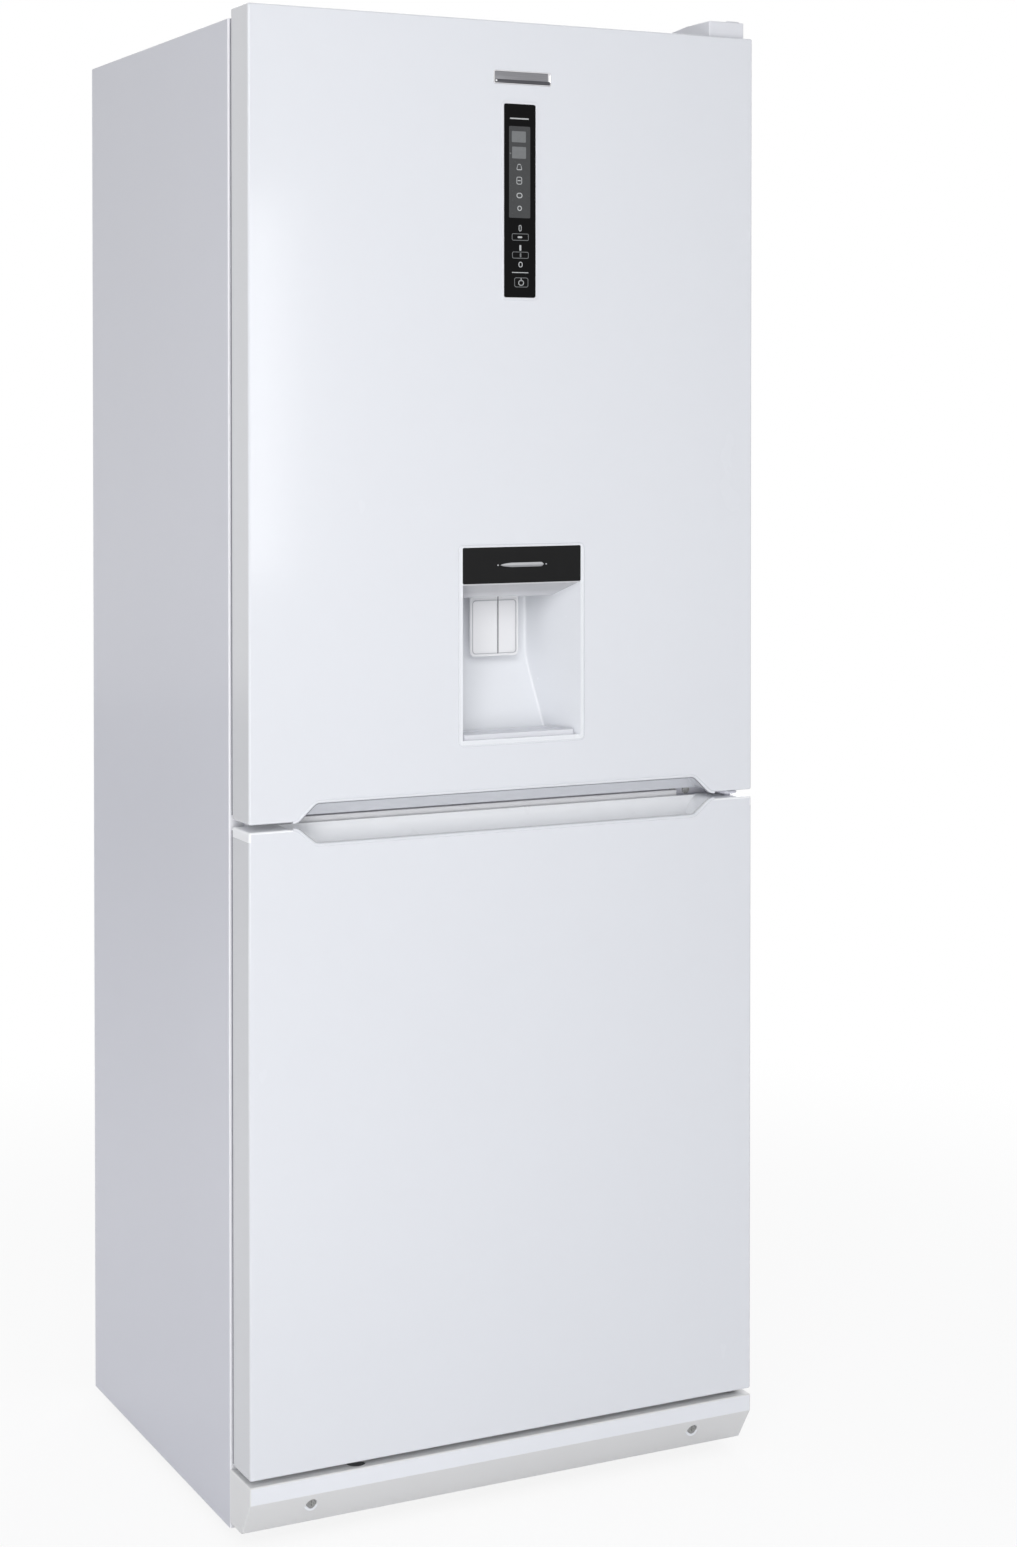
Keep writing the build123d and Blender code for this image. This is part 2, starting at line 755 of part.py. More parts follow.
# Compressor on the machine plate
SHELL_R = 72.0
SHELL_IN = 210.0
SHELL_X = HALF - SHELL_IN
SHELL_Y = (PLATE_F + PLATE_B) / 2
GROMMET = 10.0
SHELL_Z0 = PLATE_Z1 + GROMMET + PLATE_T
SHELL_Z1 = NICHE_Z1 - 18 * SLIP
with BuildPart() as compressor:
    with BuildSketch(Plane(origin=(SHELL_X, SHELL_Y, 0), x_dir=(1, 0, 0), z_dir=(0, -1, 0))):
        with BuildLine():
            Polyline((0.2 * SHELL_R, SHELL_Z1), (0, SHELL_Z1), (0, SHELL_Z0), (0.75 * SHELL_R, SHELL_Z0))
            Line((0.75 * SHELL_R, SHELL_Z0), (SHELL_R, SHELL_Z0 + 0.3 * SHELL_R))
            Line(
                (SHELL_R, SHELL_Z0 + 0.3 * SHELL_R),
                (SHELL_R, SHELL_Z1 - 0.55 * SHELL_R),
            )
            ThreePointArc(
                (SHELL_R, SHELL_Z1 - 0.55 * SHELL_R),
                (0.72 * SHELL_R, SHELL_Z1 - 0.16 * SHELL_R),
                (0.2 * SHELL_R, SHELL_Z1),
            )
        make_face()
    revolve(axis=Axis((SHELL_X, SHELL_Y, 0), (0, 0, 1)))
    slab(
        SHELL_X - 1.2 * SHELL_R,
        SHELL_X + 1.2 * SHELL_R,
        SHELL_Y - 0.75 * SHELL_R,
        SHELL_Y + 0.75 * SHELL_R,
        SHELL_Z0 - PLATE_T,
        SHELL_Z0 + PLATE_T,
    )
    for foot_x in (-SHELL_R, SHELL_R):
        for foot_y in (-0.6 * SHELL_R, 0.6 * SHELL_R):
            rod_z(SHELL_X + foot_x, SHELL_Y + foot_y, PLATE_Z1, SHELL_Z0, GROMMET)
    slab(
        SHELL_X - 1.3 * SHELL_R,
        SHELL_X - 0.8 * SHELL_R,
        SHELL_Y - 0.4 * SHELL_R,
        SHELL_Y + 0.4 * SHELL_R,
        SHELL_Z0 + 0.5 * SHELL_R,
        SHELL_Z0 + 1.4 * SHELL_R,
    )
save(compressor, "compressor")

# Wire and tube condenser standing off the back panel
TUBE = 2.5
WIRE = 1.0
PASSES = 18
WIRES = 16
COND_SIDE = 75.0
COND_LOW = 70.0
COND_HIGH = 110.0
COND_SET = 9.0
COND_X = HALF - COND_SIDE
COND_Z0 = NICHE_Z1 + COND_LOW
COND_Z1 = CASE_Z1 - COND_HIGH
COND_PITCH = (COND_Z1 - COND_Z0) / (PASSES - 1)
COND_Y = CASE_B + REAR_SPACE - COND_SET
BEND = COND_PITCH / 2 - 1
STRAP_W = 14.0
STRAP_X = COND_X - BEND - 2 * STRAP_W
tube_points = []
for row in range(PASSES):
    ends = (-COND_X, COND_X) if row % 2 == 0 else (COND_X, -COND_X)
    tube_points += [(end, COND_Z0 + row * COND_PITCH) for end in ends]
with BuildPart() as condenser:
    with BuildLine(facing(COND_Y)) as tube_path:
        FilletPolyline(*tube_points, radius=BEND)
    with BuildSketch(Plane(origin=tube_path.line @ 0, z_dir=tube_path.line % 0)):
        Circle(TUBE)
    sweep(path=tube_path.line)
    for wire in range(WIRES):
        wire_x = -STRAP_X + 2 * STRAP_X * (wire + 0.5) / WIRES
        rod_z(
            wire_x,
            COND_Y + TUBE + 0.6 * WIRE,
            COND_Z0 - 6 * TUBE,
            COND_Z1 + 6 * TUBE,
            WIRE,
        )
    for side in (-1, 1):
        slab(
            side * STRAP_X - STRAP_W / 2,
            side * STRAP_X + STRAP_W / 2,
            COND_Y + 0.4 * TUBE,
            CASE_B + REAR_SPACE,
            COND_Z0 - 6 * TUBE,
            COND_Z1 + 6 * TUBE,
        )
        for strut_z in (COND_Z0 - 5 * TUBE, COND_Z1 + 3 * TUBE):
            slab(
                side * STRAP_X - STRAP_W / 2,
                side * STRAP_X + STRAP_W / 2,
                CASE_B,
                COND_Y + 0.4 * TUBE,
                strut_z,
                strut_z + 2 * TUBE,
            )
save(condenser, "condenser")

# Mains inlet gland low on the back panel
GLAND_R = 12.0
GLAND_L = 14.0
with BuildPart() as mains_inlet:
    rod_y(-COND_X, NICHE_Z1 + 3 * GLAND_R, CASE_B, CASE_B + GLAND_L / 3, 1.4 * GLAND_R)
    rod_y(-COND_X, NICHE_Z1 + 3 * GLAND_R, CASE_B, CASE_B + GLAND_L, GLAND_R)
    rod_y(
        -COND_X,
        NICHE_Z1 + 3 * GLAND_R,
        CASE_B + GLAND_L / 3,
        CASE_B + GLAND_L,
        GLAND_R / 3,
        Mode.SUBTRACT,
    )
save(mains_inlet, "mains_inlet")

# Top hinge: plate on the case, riser, arm over the door and a pin
ARM_Z0 = UPPER_Z1 + ARM_LIFT
ARM_Z1 = ARM_Z0 + HINGE_T
PLATE_IN = 30.0
PLATE_OUT = 10.0
PLATE_LONG = 84.0
RISER_SET = 4.0
SCREW_PITCH = 20.0
HINGE_X0 = AXIS_X - PLATE_IN
HINGE_X1 = AXIS_X + PLATE_OUT
RISER_Y = CASE_F + RISER_SET
TOP_HINGE_B = RISER_Y + PLATE_LONG
TOP_SCREWS = [
    (AXIS_X - SCREW_PITCH, RISER_Y + SCREW_PITCH),
    (AXIS_X, RISER_Y + SCREW_PITCH),
    (AXIS_X - SCREW_PITCH / 2, TOP_HINGE_B - SCREW_PITCH),
]
with BuildPart() as top_hinge:
    slab(HINGE_X0, HINGE_X1, RISER_Y, TOP_HINGE_B, CASE_Z1, CASE_Z1 + HINGE_T)
    slab(HINGE_X0, HINGE_X1, RISER_Y, RISER_Y + HINGE_T, CASE_Z1, ARM_Z1)
    slab(AXIS_X - HINGE_ARM, HINGE_X1, AXIS_Y, RISER_Y + HINGE_T, ARM_Z0, ARM_Z1)
    rod_z(AXIS_X, AXIS_Y, ARM_Z0, ARM_Z1, HINGE_ARM - SLIP)
    rod_z(AXIS_X, AXIS_Y, UPPER_Z1 - PIN_REACH, ARM_Z0, PIN_R)
    for screw_x, screw_y in TOP_SCREWS:
        rod_z(screw_x, screw_y, CASE_Z1, CASE_Z1 + HINGE_T, SCREW_R + LOOSE, Mode.SUBTRACT)
save(top_hinge, "top_hinge")

# Cover over the top hinge
COVER_SIDE = 4.0
COVER_SOFT = 1.6
COVER_LIFT = 1.2
BUMP_R = 9.0
BUMP_LONG = 22.0
COVER_X0 = HINGE_X0 - 2 * COVER_SIDE
COVER_X1 = HINGE_X1 + COVER_SIDE
COVER_Y0 = DOOR_F + HINGE_BACK - HINGE_ARM - 2 * COVER_WALL
COVER_Y1 = TOP_HINGE_B + 2 * COVER_WALL
COVER_Z0 = UPPER_Z1 + COVER_LIFT
COVER_Z1 = UPPER_Z1 + COVER_HEIGHT
with BuildPart() as top_hinge_cover:
    prism_x(
        [
            (COVER_Y0, COVER_Z0),
            (COVER_Y0, COVER_Z1),
            (CASE_F, COVER_Z1),
            (COVER_Y1, COVER_Z1 - COVER_HEIGHT / 3),
            (COVER_Y1, CASE_Z1),
            (RISER_Y - COVER_WALL, CASE_Z1),
            (RISER_Y - COVER_WALL, COVER_Z0),
        ],
        COVER_X0,
        COVER_X1,
    )
    soft = top_hinge_cover.edges().filter_by(lambda e: e.center().Z > COVER_Z0 + 1)
    fillet(soft, COVER_SOFT)
    slab(
        AXIS_X - BUMP_R,
        AXIS_X + BUMP_R,
        COVER_Y0 + COVER_SIDE,
        COVER_Y0 + COVER_SIDE + BUMP_LONG,
        COVER_Z1 - COVER_WALL,
        COVER_Z1 + COVER_WALL,
    )
    fillet(top_hinge_cover.edges().group_by(Axis.Z)[-1], 0.8 * COVER_WALL)
    prism_x(
        [
            (COVER_Y0 + COVER_WALL, CASE_Z1 - 1),
            (COVER_Y0 + COVER_WALL, COVER_Z1 - COVER_WALL),
            (CASE_F, COVER_Z1 - COVER_WALL),
            (COVER_Y1 - COVER_WALL, COVER_Z1 - COVER_HEIGHT / 3 - COVER_WALL),
            (COVER_Y1 - COVER_WALL, CASE_Z1 - 1),
        ],
        COVER_X0 + COVER_WALL,
        COVER_X1 - COVER_WALL,
        Mode.SUBTRACT,
    )
save(top_hinge_cover, "top_hinge_cover")

# Middle hinge: tab on the rail, arm between the doors and a pin each way
TAB_Z = 9.0
TAB_LONG = 70.0
TAB_X = AXIS_X - TAB_LONG
MID_SCREWS = [(TAB_X + TAB_Z, SPLIT_MID), (TAB_X + TAB_Z + SCREW_PITCH, SPLIT_MID)]
with BuildPart() as middle_hinge:
    slab(
        TAB_X,
        AXIS_X + HINGE_ARM,
        CASE_F - HINGE_T,
        CASE_F,
        SPLIT_MID - TAB_Z,
        SPLIT_MID + TAB_Z,
    )
    slab(
        AXIS_X - HINGE_ARM,
        AXIS_X + HINGE_ARM,
        AXIS_Y,
        CASE_F,
        SPLIT_MID - HINGE_T / 2,
        SPLIT_MID + HINGE_T / 2,
    )
    rod_z(AXIS_X, AXIS_Y, SPLIT_MID - HINGE_T / 2, SPLIT_MID + HINGE_T / 2, HINGE_ARM)
    rod_z(AXIS_X, AXIS_Y, LOWER_Z1 - PIN_REACH, UPPER_Z0 + PIN_REACH, MID_PIN_R)
    for screw_x, screw_z in MID_SCREWS:
        rod_y(screw_x, screw_z, CASE_F - HINGE_T, CASE_F, SCREW_R + LOOSE, Mode.SUBTRACT)
save(middle_hinge, "middle_hinge")

# Bottom hinge: upright plate on the base pan, arm under the door and a pin
LOW_GAP = 2.5
LOW_PLATE_H = 46.0
LOW_PLATE_W = 50.0
LOW_ARM_Z1 = LOWER_Z0 - LOW_GAP
LOW_PLATE_Z0 = LOW_ARM_Z1 - LOW_PLATE_H
LOW_PLATE_X = AXIS_X - LOW_PLATE_W
LOW_SCREWS = [
    (LOW_PLATE_X + HINGE_ARM, LOW_PLATE_Z0 + HINGE_ARM),
    (LOW_PLATE_X + HINGE_ARM, LOW_PLATE_Z0 + HINGE_ARM + SCREW_PITCH),
    (AXIS_X, LOW_PLATE_Z0 + HINGE_ARM),
]
with BuildPart() as bottom_hinge:
    slab(LOW_PLATE_X, AXIS_X + HINGE_ARM, CASE_F - HINGE_T, CASE_F, LOW_PLATE_Z0, LOW_ARM_Z1)
    slab(
        AXIS_X - HINGE_ARM,
        AXIS_X + HINGE_ARM,
        AXIS_Y,
        CASE_F,
        LOW_ARM_Z1 - HINGE_T,
        LOW_ARM_Z1,
    )
    rod_z(AXIS_X, AXIS_Y, LOW_ARM_Z1 - HINGE_T, LOW_ARM_Z1, HINGE_ARM)
    rod_z(AXIS_X, AXIS_Y, LOW_ARM_Z1 - HINGE_T, LOWER_Z0 + PIN_REACH, PIN_R)
    for screw_x, screw_z in LOW_SCREWS:
        rod_y(screw_x, screw_z, CASE_F - HINGE_T, CASE_F, SCREW_R + LOOSE, Mode.SUBTRACT)
save(bottom_hinge, "bottom_hinge")

# Hinge screws
with BuildPart() as hinge_screws:
    for screw_x, screw_y in TOP_SCREWS:
        rod_z(screw_x, screw_y, CASE_Z1, CASE_Z1 + HINGE_T, SCREW_R)
        rod_z(
            screw_x,
            screw_y,
            CASE_Z1 + HINGE_T,
            CASE_Z1 + HINGE_T + SCREW_HEAD_T,
            SCREW_HEAD_R,
        )
    for screw_x, screw_z in (*MID_SCREWS, *LOW_SCREWS):
        rod_y(screw_x, screw_z, CASE_F - HINGE_T, CASE_F, SCREW_R)
        rod_y(
            screw_x,
            screw_z,
            CASE_F - HINGE_T - SCREW_HEAD_T,
            CASE_F - HINGE_T,
            SCREW_HEAD_R,
        )
save(hinge_screws, "hinge_screws")

# Plinth: a hollow kick plate with a slanted lower face
PLINTH_GAP = 7.5
PLINTH_BAND = 21.7
PLINTH_LIFT = 7.4
PLINTH_BACK = 28.7
PLINTH_T = 2.5
PLINTH_Z1 = LOWER_Z0 - PLINTH_GAP
PLINTH_BEND = PLINTH_Z1 - PLINTH_BAND
PLINTH_Z0 = CASE_Z0 + PLINTH_LIFT
PLINTH_REAR = CASE_F - 2 * HINGE_T
PSCREW_IN = 83.0
PSCREW_X = HALF - PSCREW_IN
PSCREW_Z = PLINTH_BEND - (PLINTH_BEND - PLINTH_Z0) / 3
SLANT = PLINTH_BACK / (PLINTH_BEND - PLINTH_Z0)
PSCREW_Y = DOOR_F + (PLINTH_BEND - PSCREW_Z) * SLANT
PSCREW_HEAD_R = 6.0
BORE_OUT = PSCREW_HEAD_R + 0.8
BOSS_OUT = BORE_OUT + PLINTH_T
SEAT_DEEP = 3.0
SEAT_Y = PSCREW_Y + SEAT_DEEP
PLINTH_SOFT = 1.8
VENT_X = 205.0
VENT_BACK = 18.0
VENT_R = 12.0
with BuildPart() as plinth:
    prism_x(
        [
            (DOOR_F, PLINTH_Z1),
            (DOOR_F, PLINTH_BEND),
            (DOOR_F + PLINTH_BACK, PLINTH_Z0),
            (CASE_F, PLINTH_Z0),
            (CASE_F, PLINTH_Z1),
        ],
        -HALF,
        HALF,
    )
    near = plinth.edges().filter_by(lambda e: e.center().Y < CASE_F - 1)
    ends = near.filter_by(lambda e: abs(e.center().X) > HALF - 1)
    fronts = near.filter_by(Axis.X).filter_by(lambda e: e.center().Z > PLINTH_Z0 + 1)
    fillet(ends.filter_by(lambda e: e.center().Z > PLINTH_Z0 + 1) + fronts, PLINTH_SOFT)
    prism_x(
        [
            (DOOR_F + PLINTH_T, PLINTH_Z1 - PLINTH_T),
            (DOOR_F + PLINTH_T, PLINTH_BEND),
            (DOOR_F + PLINTH_BACK + PLINTH_T, PLINTH_Z0 - 0.01),
            (CASE_F, PLINTH_Z0 - 0.01),
            (CASE_F, PLINTH_Z1 - PLINTH_T),
        ],
        PLINTH_T - HALF,
        HALF - PLINTH_T,
        Mode.SUBTRACT,
    )
    slab(
        PLINTH_T - HALF,
        HALF - PLINTH_T,
        PLINTH_REAR,
        CASE_F,
        PLINTH_Z0,
        PLINTH_Z1,
        Mode.SUBTRACT,
    )
    rod_z(-VENT_X, DOOR_F + VENT_BACK, PLINTH_Z1 - 2 * PLINTH_T, PLINTH_Z1, VENT_R, Mode.SUBTRACT)
    for side in (-1, 1):
        rod_y(side * PSCREW_X, PSCREW_Z, PSCREW_Y + SLIP, CASE_F, BOSS_OUT)
        rod_y(side * PSCREW_X, PSCREW_Z, DOOR_F, SEAT_Y, BORE_OUT, Mode.SUBTRACT)
        rod_y(side * PSCREW_X, PSCREW_Z, SEAT_Y, CASE_F, SCREW_R + LOOSE, Mode.SUBTRACT)
save(plinth, "plinth")

# Plinth screws with crossed slots
CROSS_W = 1.2
CROSS_L = 7.2
with BuildPart() as plinth_screws:
    for side in (-1, 1):
        rod_y(side * PSCREW_X, PSCREW_Z, SEAT_Y - SCREW_HEAD_T, SEAT_Y, PSCREW_HEAD_R)
        rod_y(side * PSCREW_X, PSCREW_Z, SEAT_Y, CASE_F, SCREW_R)
    fillet(plinth_screws.edges().group_by(Axis.Y)[0], CROSS_W)
    for side in (-1, 1):
        for across, along in ((CROSS_W, CROSS_L), (CROSS_L, CROSS_W)):
            slab(
                side * PSCREW_X - across / 2,
                side * PSCREW_X + across / 2,
                SEAT_Y - SCREW_HEAD_T,
                SEAT_Y - SCREW_HEAD_T / 2,
                PSCREW_Z - along / 2,
                PSCREW_Z + along / 2,
                Mode.SUBTRACT,
            )
save(plinth_screws, "plinth_screws")

# Hollows of the two grips
HOOK_WIDE = GRIP_WIDE + 2 * GRIP_HOOK
HOOK_NARROW = GRIP_NARROW + 2 * GRIP_HOOK
HOOK_Y = DOOR_F + SHEET
GRIP_B = DOOR_F + GRIP_DEEP


def grip_outline(edge, tip, wide, narrow, front, back, mode):
    """Front outline of a grip, drawn back, with round corners at the door's edge and at its tip."""
    beyond = edge + math.copysign(SLIP, edge - tip)
    flare = wide / 2 + 2 * GRIP_ROUND
    with BuildSketch(facing(front)) as face:
        with BuildLine():
            Polyline(
                (-flare, beyond),
                (flare, beyond),
                (flare, edge),
                (wide / 2, edge),
                (narrow / 2, tip),
                (-narrow / 2, tip),
                (-wide / 2, edge),
                (-flare, edge),
                close=True,
            )
        make_face()
        fillet(face.vertices().filter_by(lambda v: abs(v.X) < (wide / 2 + flare) / 2), GRIP_ROUND)
    extrude(face.sketch, amount=front - back, mode=mode)


def grip_void(edge, lip, tip, rise):
    """Hollow behind a grip's opening, larger than it all round, open below the door's back edge."""
    sill = edge + math.copysign(rise, tip - edge)
    flat = DOOR_F + 0.45 * GRIP_DEEP
    with BuildSketch(Plane.YZ.offset(-HALF)) as face:
        with BuildLine():
            Polyline(
                (GRIP_B, sill),
                (DOOR_B, sill),
                (DOOR_B, edge),
                (DOOR_F - 1, edge),
                (DOOR_F - 1, tip),
                (flat, tip),
            )
            ThreePointArc(
                (flat, tip),
                (DOOR_F + 0.84 * GRIP_DEEP, tip + 0.36 * (sill - tip)),
                (GRIP_B, sill),
            )
        make_face()
    extrude(face.sketch, amount=WIDTH)
    grip_outline(edge, tip, HOOK_WIDE, HOOK_NARROW, HOOK_Y, DOOR_B, Mode.INTERSECT)
    grip_outline(edge, lip, GRIP_WIDE, GRIP_NARROW, DOOR_F - SLIP, HOOK_Y, Mode.ADD)


UPPER_TIP = UPPER_Z0 + UPPER_GRIP
LOWER_TIP = LOWER_Z1 - LOWER_GRIP
with BuildPart() as upper_void:
    grip_void(UPPER_Z0, UPPER_TIP, UPPER_TIP + GRIP_HOOK, UPPER_RISE)
with BuildPart() as lower_void:
    grip_void(LOWER_Z1, LOWER_TIP, LOWER_TIP - GRIP_HOOK, LOWER_RISE)


def grip_housing(z0, z1, mode=Mode.ADD):
    """Block behind the door skin that the grip is hollowed from."""
    reach = HOOK_WIDE / 2 + GRIP_WALL
    slab(-reach, reach, HOOK_Y, GRIP_B + GRIP_WALL, z0, z1, mode)


# Upper door levels
U_SKIN_Z0 = UPPER_Z0 + GRIP_CAP
U_SKIN_Z1 = UPPER_Z1 - TOP_CAP
U_GRIP_Z1 = UPPER_TIP + GRIP_HOOK + GRIP_WALL

# Dispenser planes
RIM_Z0 = UPPER_Z0 + RIM_LIFT
RIM_Z1 = RIM_Z0 + RIM_H
RIM_MID = (RIM_Z0 + RIM_Z1) / 2
BOWL_X = RIM_W / 2 - RIM_LIP
FASCIA_Z1 = RIM_Z1 - RIM_LIP / 2
FASCIA_Z0 = FASCIA_Z1 - FASCIA_H
BOWL_Z0 = RIM_Z0 + RIM_LIP + SLIP
SOFFIT_Z = FASCIA_Z0 - SOFFIT_FALL
POCKET_Z1 = FASCIA_Z0 + POCKET_RISE
KNEE_Z = BOWL_Z0 + KNEE_LIFT
BOWL_B = DOOR_F + BOWL_DEEP
SOFFIT_B = DOOR_F + SOFFIT_DEEP
FLOOR_B = DOOR_F + FLOOR_DEEP


def bowl_plan(grow, front):
    """Plan of the dispenser hollow, narrowing towards the back."""
    back = BOWL_B + grow
    half_back = BOWL_X - BOWL_TAPER + grow
    half_front = BOWL_X + grow
    return [
        (FEATURE_X - half_front, front),
        (FEATURE_X + half_front, front),
        (FEATURE_X + half_back, back),
        (FEATURE_X - half_back, back),
    ]


# Hollow of the dispenser
with BuildPart() as bowl_void:
    prism_x(
        [
            (DOOR_F - SLIP, FASCIA_Z0),
            (DOOR_F, FASCIA_Z0),
            (SOFFIT_B, SOFFIT_Z),
            (SOFFIT_B, POCKET_Z1),
            (BOWL_B, POCKET_Z1),
            (BOWL_B, KNEE_Z),
            (FLOOR_B, BOWL_Z0),
            (DOOR_F - SLIP, BOWL_Z0),
        ],
        -HALF,
        HALF,
    )
    prism_z(bowl_plan(0, DOOR_F - SLIP), BOWL_Z0, POCKET_Z1, Mode.INTERSECT)
    deep = bowl_void.edges().filter_by(lambda e: e.center().Y > FLOOR_B + 1)
    fillet(deep.filter_by(Axis.X).filter_by(lambda e: e.center().Z < POCKET_Z1 - 1), KNEE_ROUND)
    rear = bowl_void.edges().filter_by(lambda e: e.bounding_box().min.Y > FLOOR_B - 0.01)
    fillet(rear.filter_by(lambda e: e.bounding_box().size.Z > 1), BOWL_ROUND)

# Outside of the dispenser housing behind the skin
with BuildPart() as bowl_shell:
    prism_x(
        [
            (DOOR_F, BOWL_Z0 - BOWL_WALL),
            (FLOOR_B + BOWL_WALL, BOWL_Z0 - BOWL_WALL),
            (BOWL_B + BOWL_WALL, KNEE_Z - BOWL_WALL),
            (BOWL_B + BOWL_WALL, POCKET_Z1 + BOWL_WALL),
            (DOOR_F, POCKET_Z1 + BOWL_WALL),
        ],
        -HALF,
        HALF,
    )
    prism_z(
        bowl_plan(BOWL_WALL, DOOR_F),
        BOWL_Z0 - BOWL_WALL,
        POCKET_Z1 + BOWL_WALL,
        Mode.INTERSECT,
    )
    slab(
        FEATURE_X - BOWL_X,
        FEATURE_X + BOWL_X,
        DOOR_F,
        SOFFIT_B + BOWL_WALL,
        SOFFIT_Z,
        FASCIA_Z1,
    )
    with BuildSketch(facing(DOOR_F - RIM_PROUD)):
        with Locations((FEATURE_X, RIM_MID)):
            RectangleRounded(RIM_W, RIM_H, RIM_CORNER)
    extrude(amount=-RIM_PROUD - BOWL_WALL)

# Nozzle and paddle positions
NOZZLE_Y = SOFFIT_B + 2 * NOZZLE_R
TANK_Z0 = POCKET_Z1 + BOWL_WALL + 5 * SLIP
TANK_Z1 = TANK_Z0 + TANK_H
SPIGOT_Z = TANK_Z0 + 2.5 * NOZZLE_R
PADDLE_B = BOWL_B - PADDLE_GAP
AXLE_Z = POCKET_Z1 - 4 * TRUNNION_R
AXLE_Y = PADDLE_B - PADDLE_T / 2
LUG_IN = PADDLE_W / 2 + SLIP
FASCIA_Y = DOOR_F - RIM_PROUD / 2


def fascia_block(front, back, mode=Mode.ADD):
    """Black band's outline, drawn back from its front."""
    with BuildSketch(facing(front)) as face:
        with Locations((FEATURE_X, (FASCIA_Z0 + FASCIA_Z1) / 2)):
            RectangleRounded(2 * BOWL_X, FASCIA_H, FASCIA_CORNER)
    extrude(face.sketch, amount=front - back, mode=mode)


# Dispenser housing
with BuildPart() as dispenser_housing:
    add(bowl_shell.part)
    add(bowl_void.part, mode=Mode.SUBTRACT)
    fascia_block(DOOR_F - RIM_PROUD, FASCIA_Y + FASCIA_T, Mode.SUBTRACT)
    for side in (-1, 1):
        lug = sorted((FEATURE_X + side * LUG_IN, FEATURE_X + side * (LUG_IN + LUG_T)))
        slab(
            *lug,
            AXLE_Y - 3 * TRUNNION_R,
            AXLE_Y + 2 * TRUNNION_R,
            AXLE_Z - 2 * TRUNNION_R,
            POCKET_Z1 + BOWL_WALL / 2,
        )
        rod_x(AXLE_Y, AXLE_Z, *lug, TRUNNION_R + RUN, Mode.SUBTRACT)
    rod_z(
        FEATURE_X,
        NOZZLE_Y,
        SOFFIT_Z,
        POCKET_Z1 + BOWL_WALL,
        NOZZLE_R + LOOSE,
        Mode.SUBTRACT,
    )
save(dispenser_housing, "dispenser_housing")

# Black band over the dispenser and the bright bar on it
with BuildPart() as dispenser_fascia:
    fascia_block(FASCIA_Y, FASCIA_Y + FASCIA_T)
save(dispenser_fascia, "dispenser_fascia")

ACCENT_Z = (FASCIA_Z0 + FASCIA_Z1) / 2
ACCENT_T = 0.8
with BuildPart() as dispenser_accent:
    with BuildSketch(facing(FASCIA_Y - ACCENT_T)):
        with Locations((FEATURE_X, ACCENT_Z)):
            SlotOverall(ACCENT_W, ACCENT_H)
    extrude(amount=-ACCENT_T)
    fillet(dispenser_accent.edges().group_by(Axis.Y)[0], ACCENT_T / 2)
save(dispenser_accent, "dispenser_accent")

# Drip tray on the dispenser floor
TRAY_T = 6.0
TRAY_LIP = 4.0
TRAY_PAN = 2.0


def tray_plan(inset):
    """Plan of the drip tray beside the hollow's slanting sides, set in from the tray's edge."""
    front = DOOR_F + 3 * SLIP + inset
    back = FLOOR_B - 3 * SLIP - inset
    half_front = BOWL_X - BOWL_TAPER * (front - DOOR_F) / BOWL_DEEP - SLIP - inset
    half_back = BOWL_X - BOWL_TAPER * (back - DOOR_F) / BOWL_DEEP - SLIP - inset
    return [
        (FEATURE_X - half_front, front),
        (FEATURE_X + half_front, front),
        (FEATURE_X + half_back, back),
        (FEATURE_X - half_back, back),
    ]


with BuildPart() as drip_tray:
    prism_z(tray_plan(0), BOWL_Z0, BOWL_Z0 + TRAY_T)
    fillet(drip_tray.edges().filter_by(Axis.Z), TRAY_LIP)
    prism_z(tray_plan(TRAY_LIP), BOWL_Z0 + TRAY_T - TRAY_PAN, BOWL_Z0 + TRAY_T, Mode.SUBTRACT)
save(drip_tray, "drip_tray")

# Paddle that works the valve
PADDLE_Z0 = AXLE_Z - PADDLE_H
RIB = 1.0
GROOVE_X = FEATURE_X + GROOVE_SIDE
with BuildPart() as dispenser_paddle:
    slab(
        FEATURE_X - PADDLE_W / 2,
        FEATURE_X + PADDLE_W / 2,
        PADDLE_B - PADDLE_T,
        PADDLE_B,
        PADDLE_Z0,
        AXLE_Z,
    )
    corners = dispenser_paddle.edges().filter_by(Axis.Y).group_by(Axis.Z)[0]
    fillet(corners, PADDLE_CORNER)
    for side in (-1, 1):
        panel = sorted((GROOVE_X + side * 2 * RIB, FEATURE_X + side * (PADDLE_W / 2 - 2.5 * RIB)))
        slab(
            *panel,
            PADDLE_B - PADDLE_T,
            PADDLE_B - PADDLE_T + RIB,
            PADDLE_Z0 + 3 * RIB,
            AXLE_Z - 12 * RIB,
            Mode.SUBTRACT,
        )
    slab(
        GROOVE_X - RIB / 2,
        GROOVE_X + RIB / 2,
        PADDLE_B - PADDLE_T,
        PADDLE_B - PADDLE_T + RIB,
        PADDLE_Z0 + 3 * RIB,
        AXLE_Z - 12 * RIB,
        Mode.SUBTRACT,
    )
    rod_x(AXLE_Y, AXLE_Z, FEATURE_X - PADDLE_W / 2, FEATURE_X + PADDLE_W / 2, 1.6 * TRUNNION_R)
    rod_x(
        AXLE_Y,
        AXLE_Z,
        FEATURE_X - LUG_IN - LUG_T,
        FEATURE_X + LUG_IN + LUG_T,
        TRUNNION_R,
    )
save(dispenser_paddle, "dispenser_paddle")

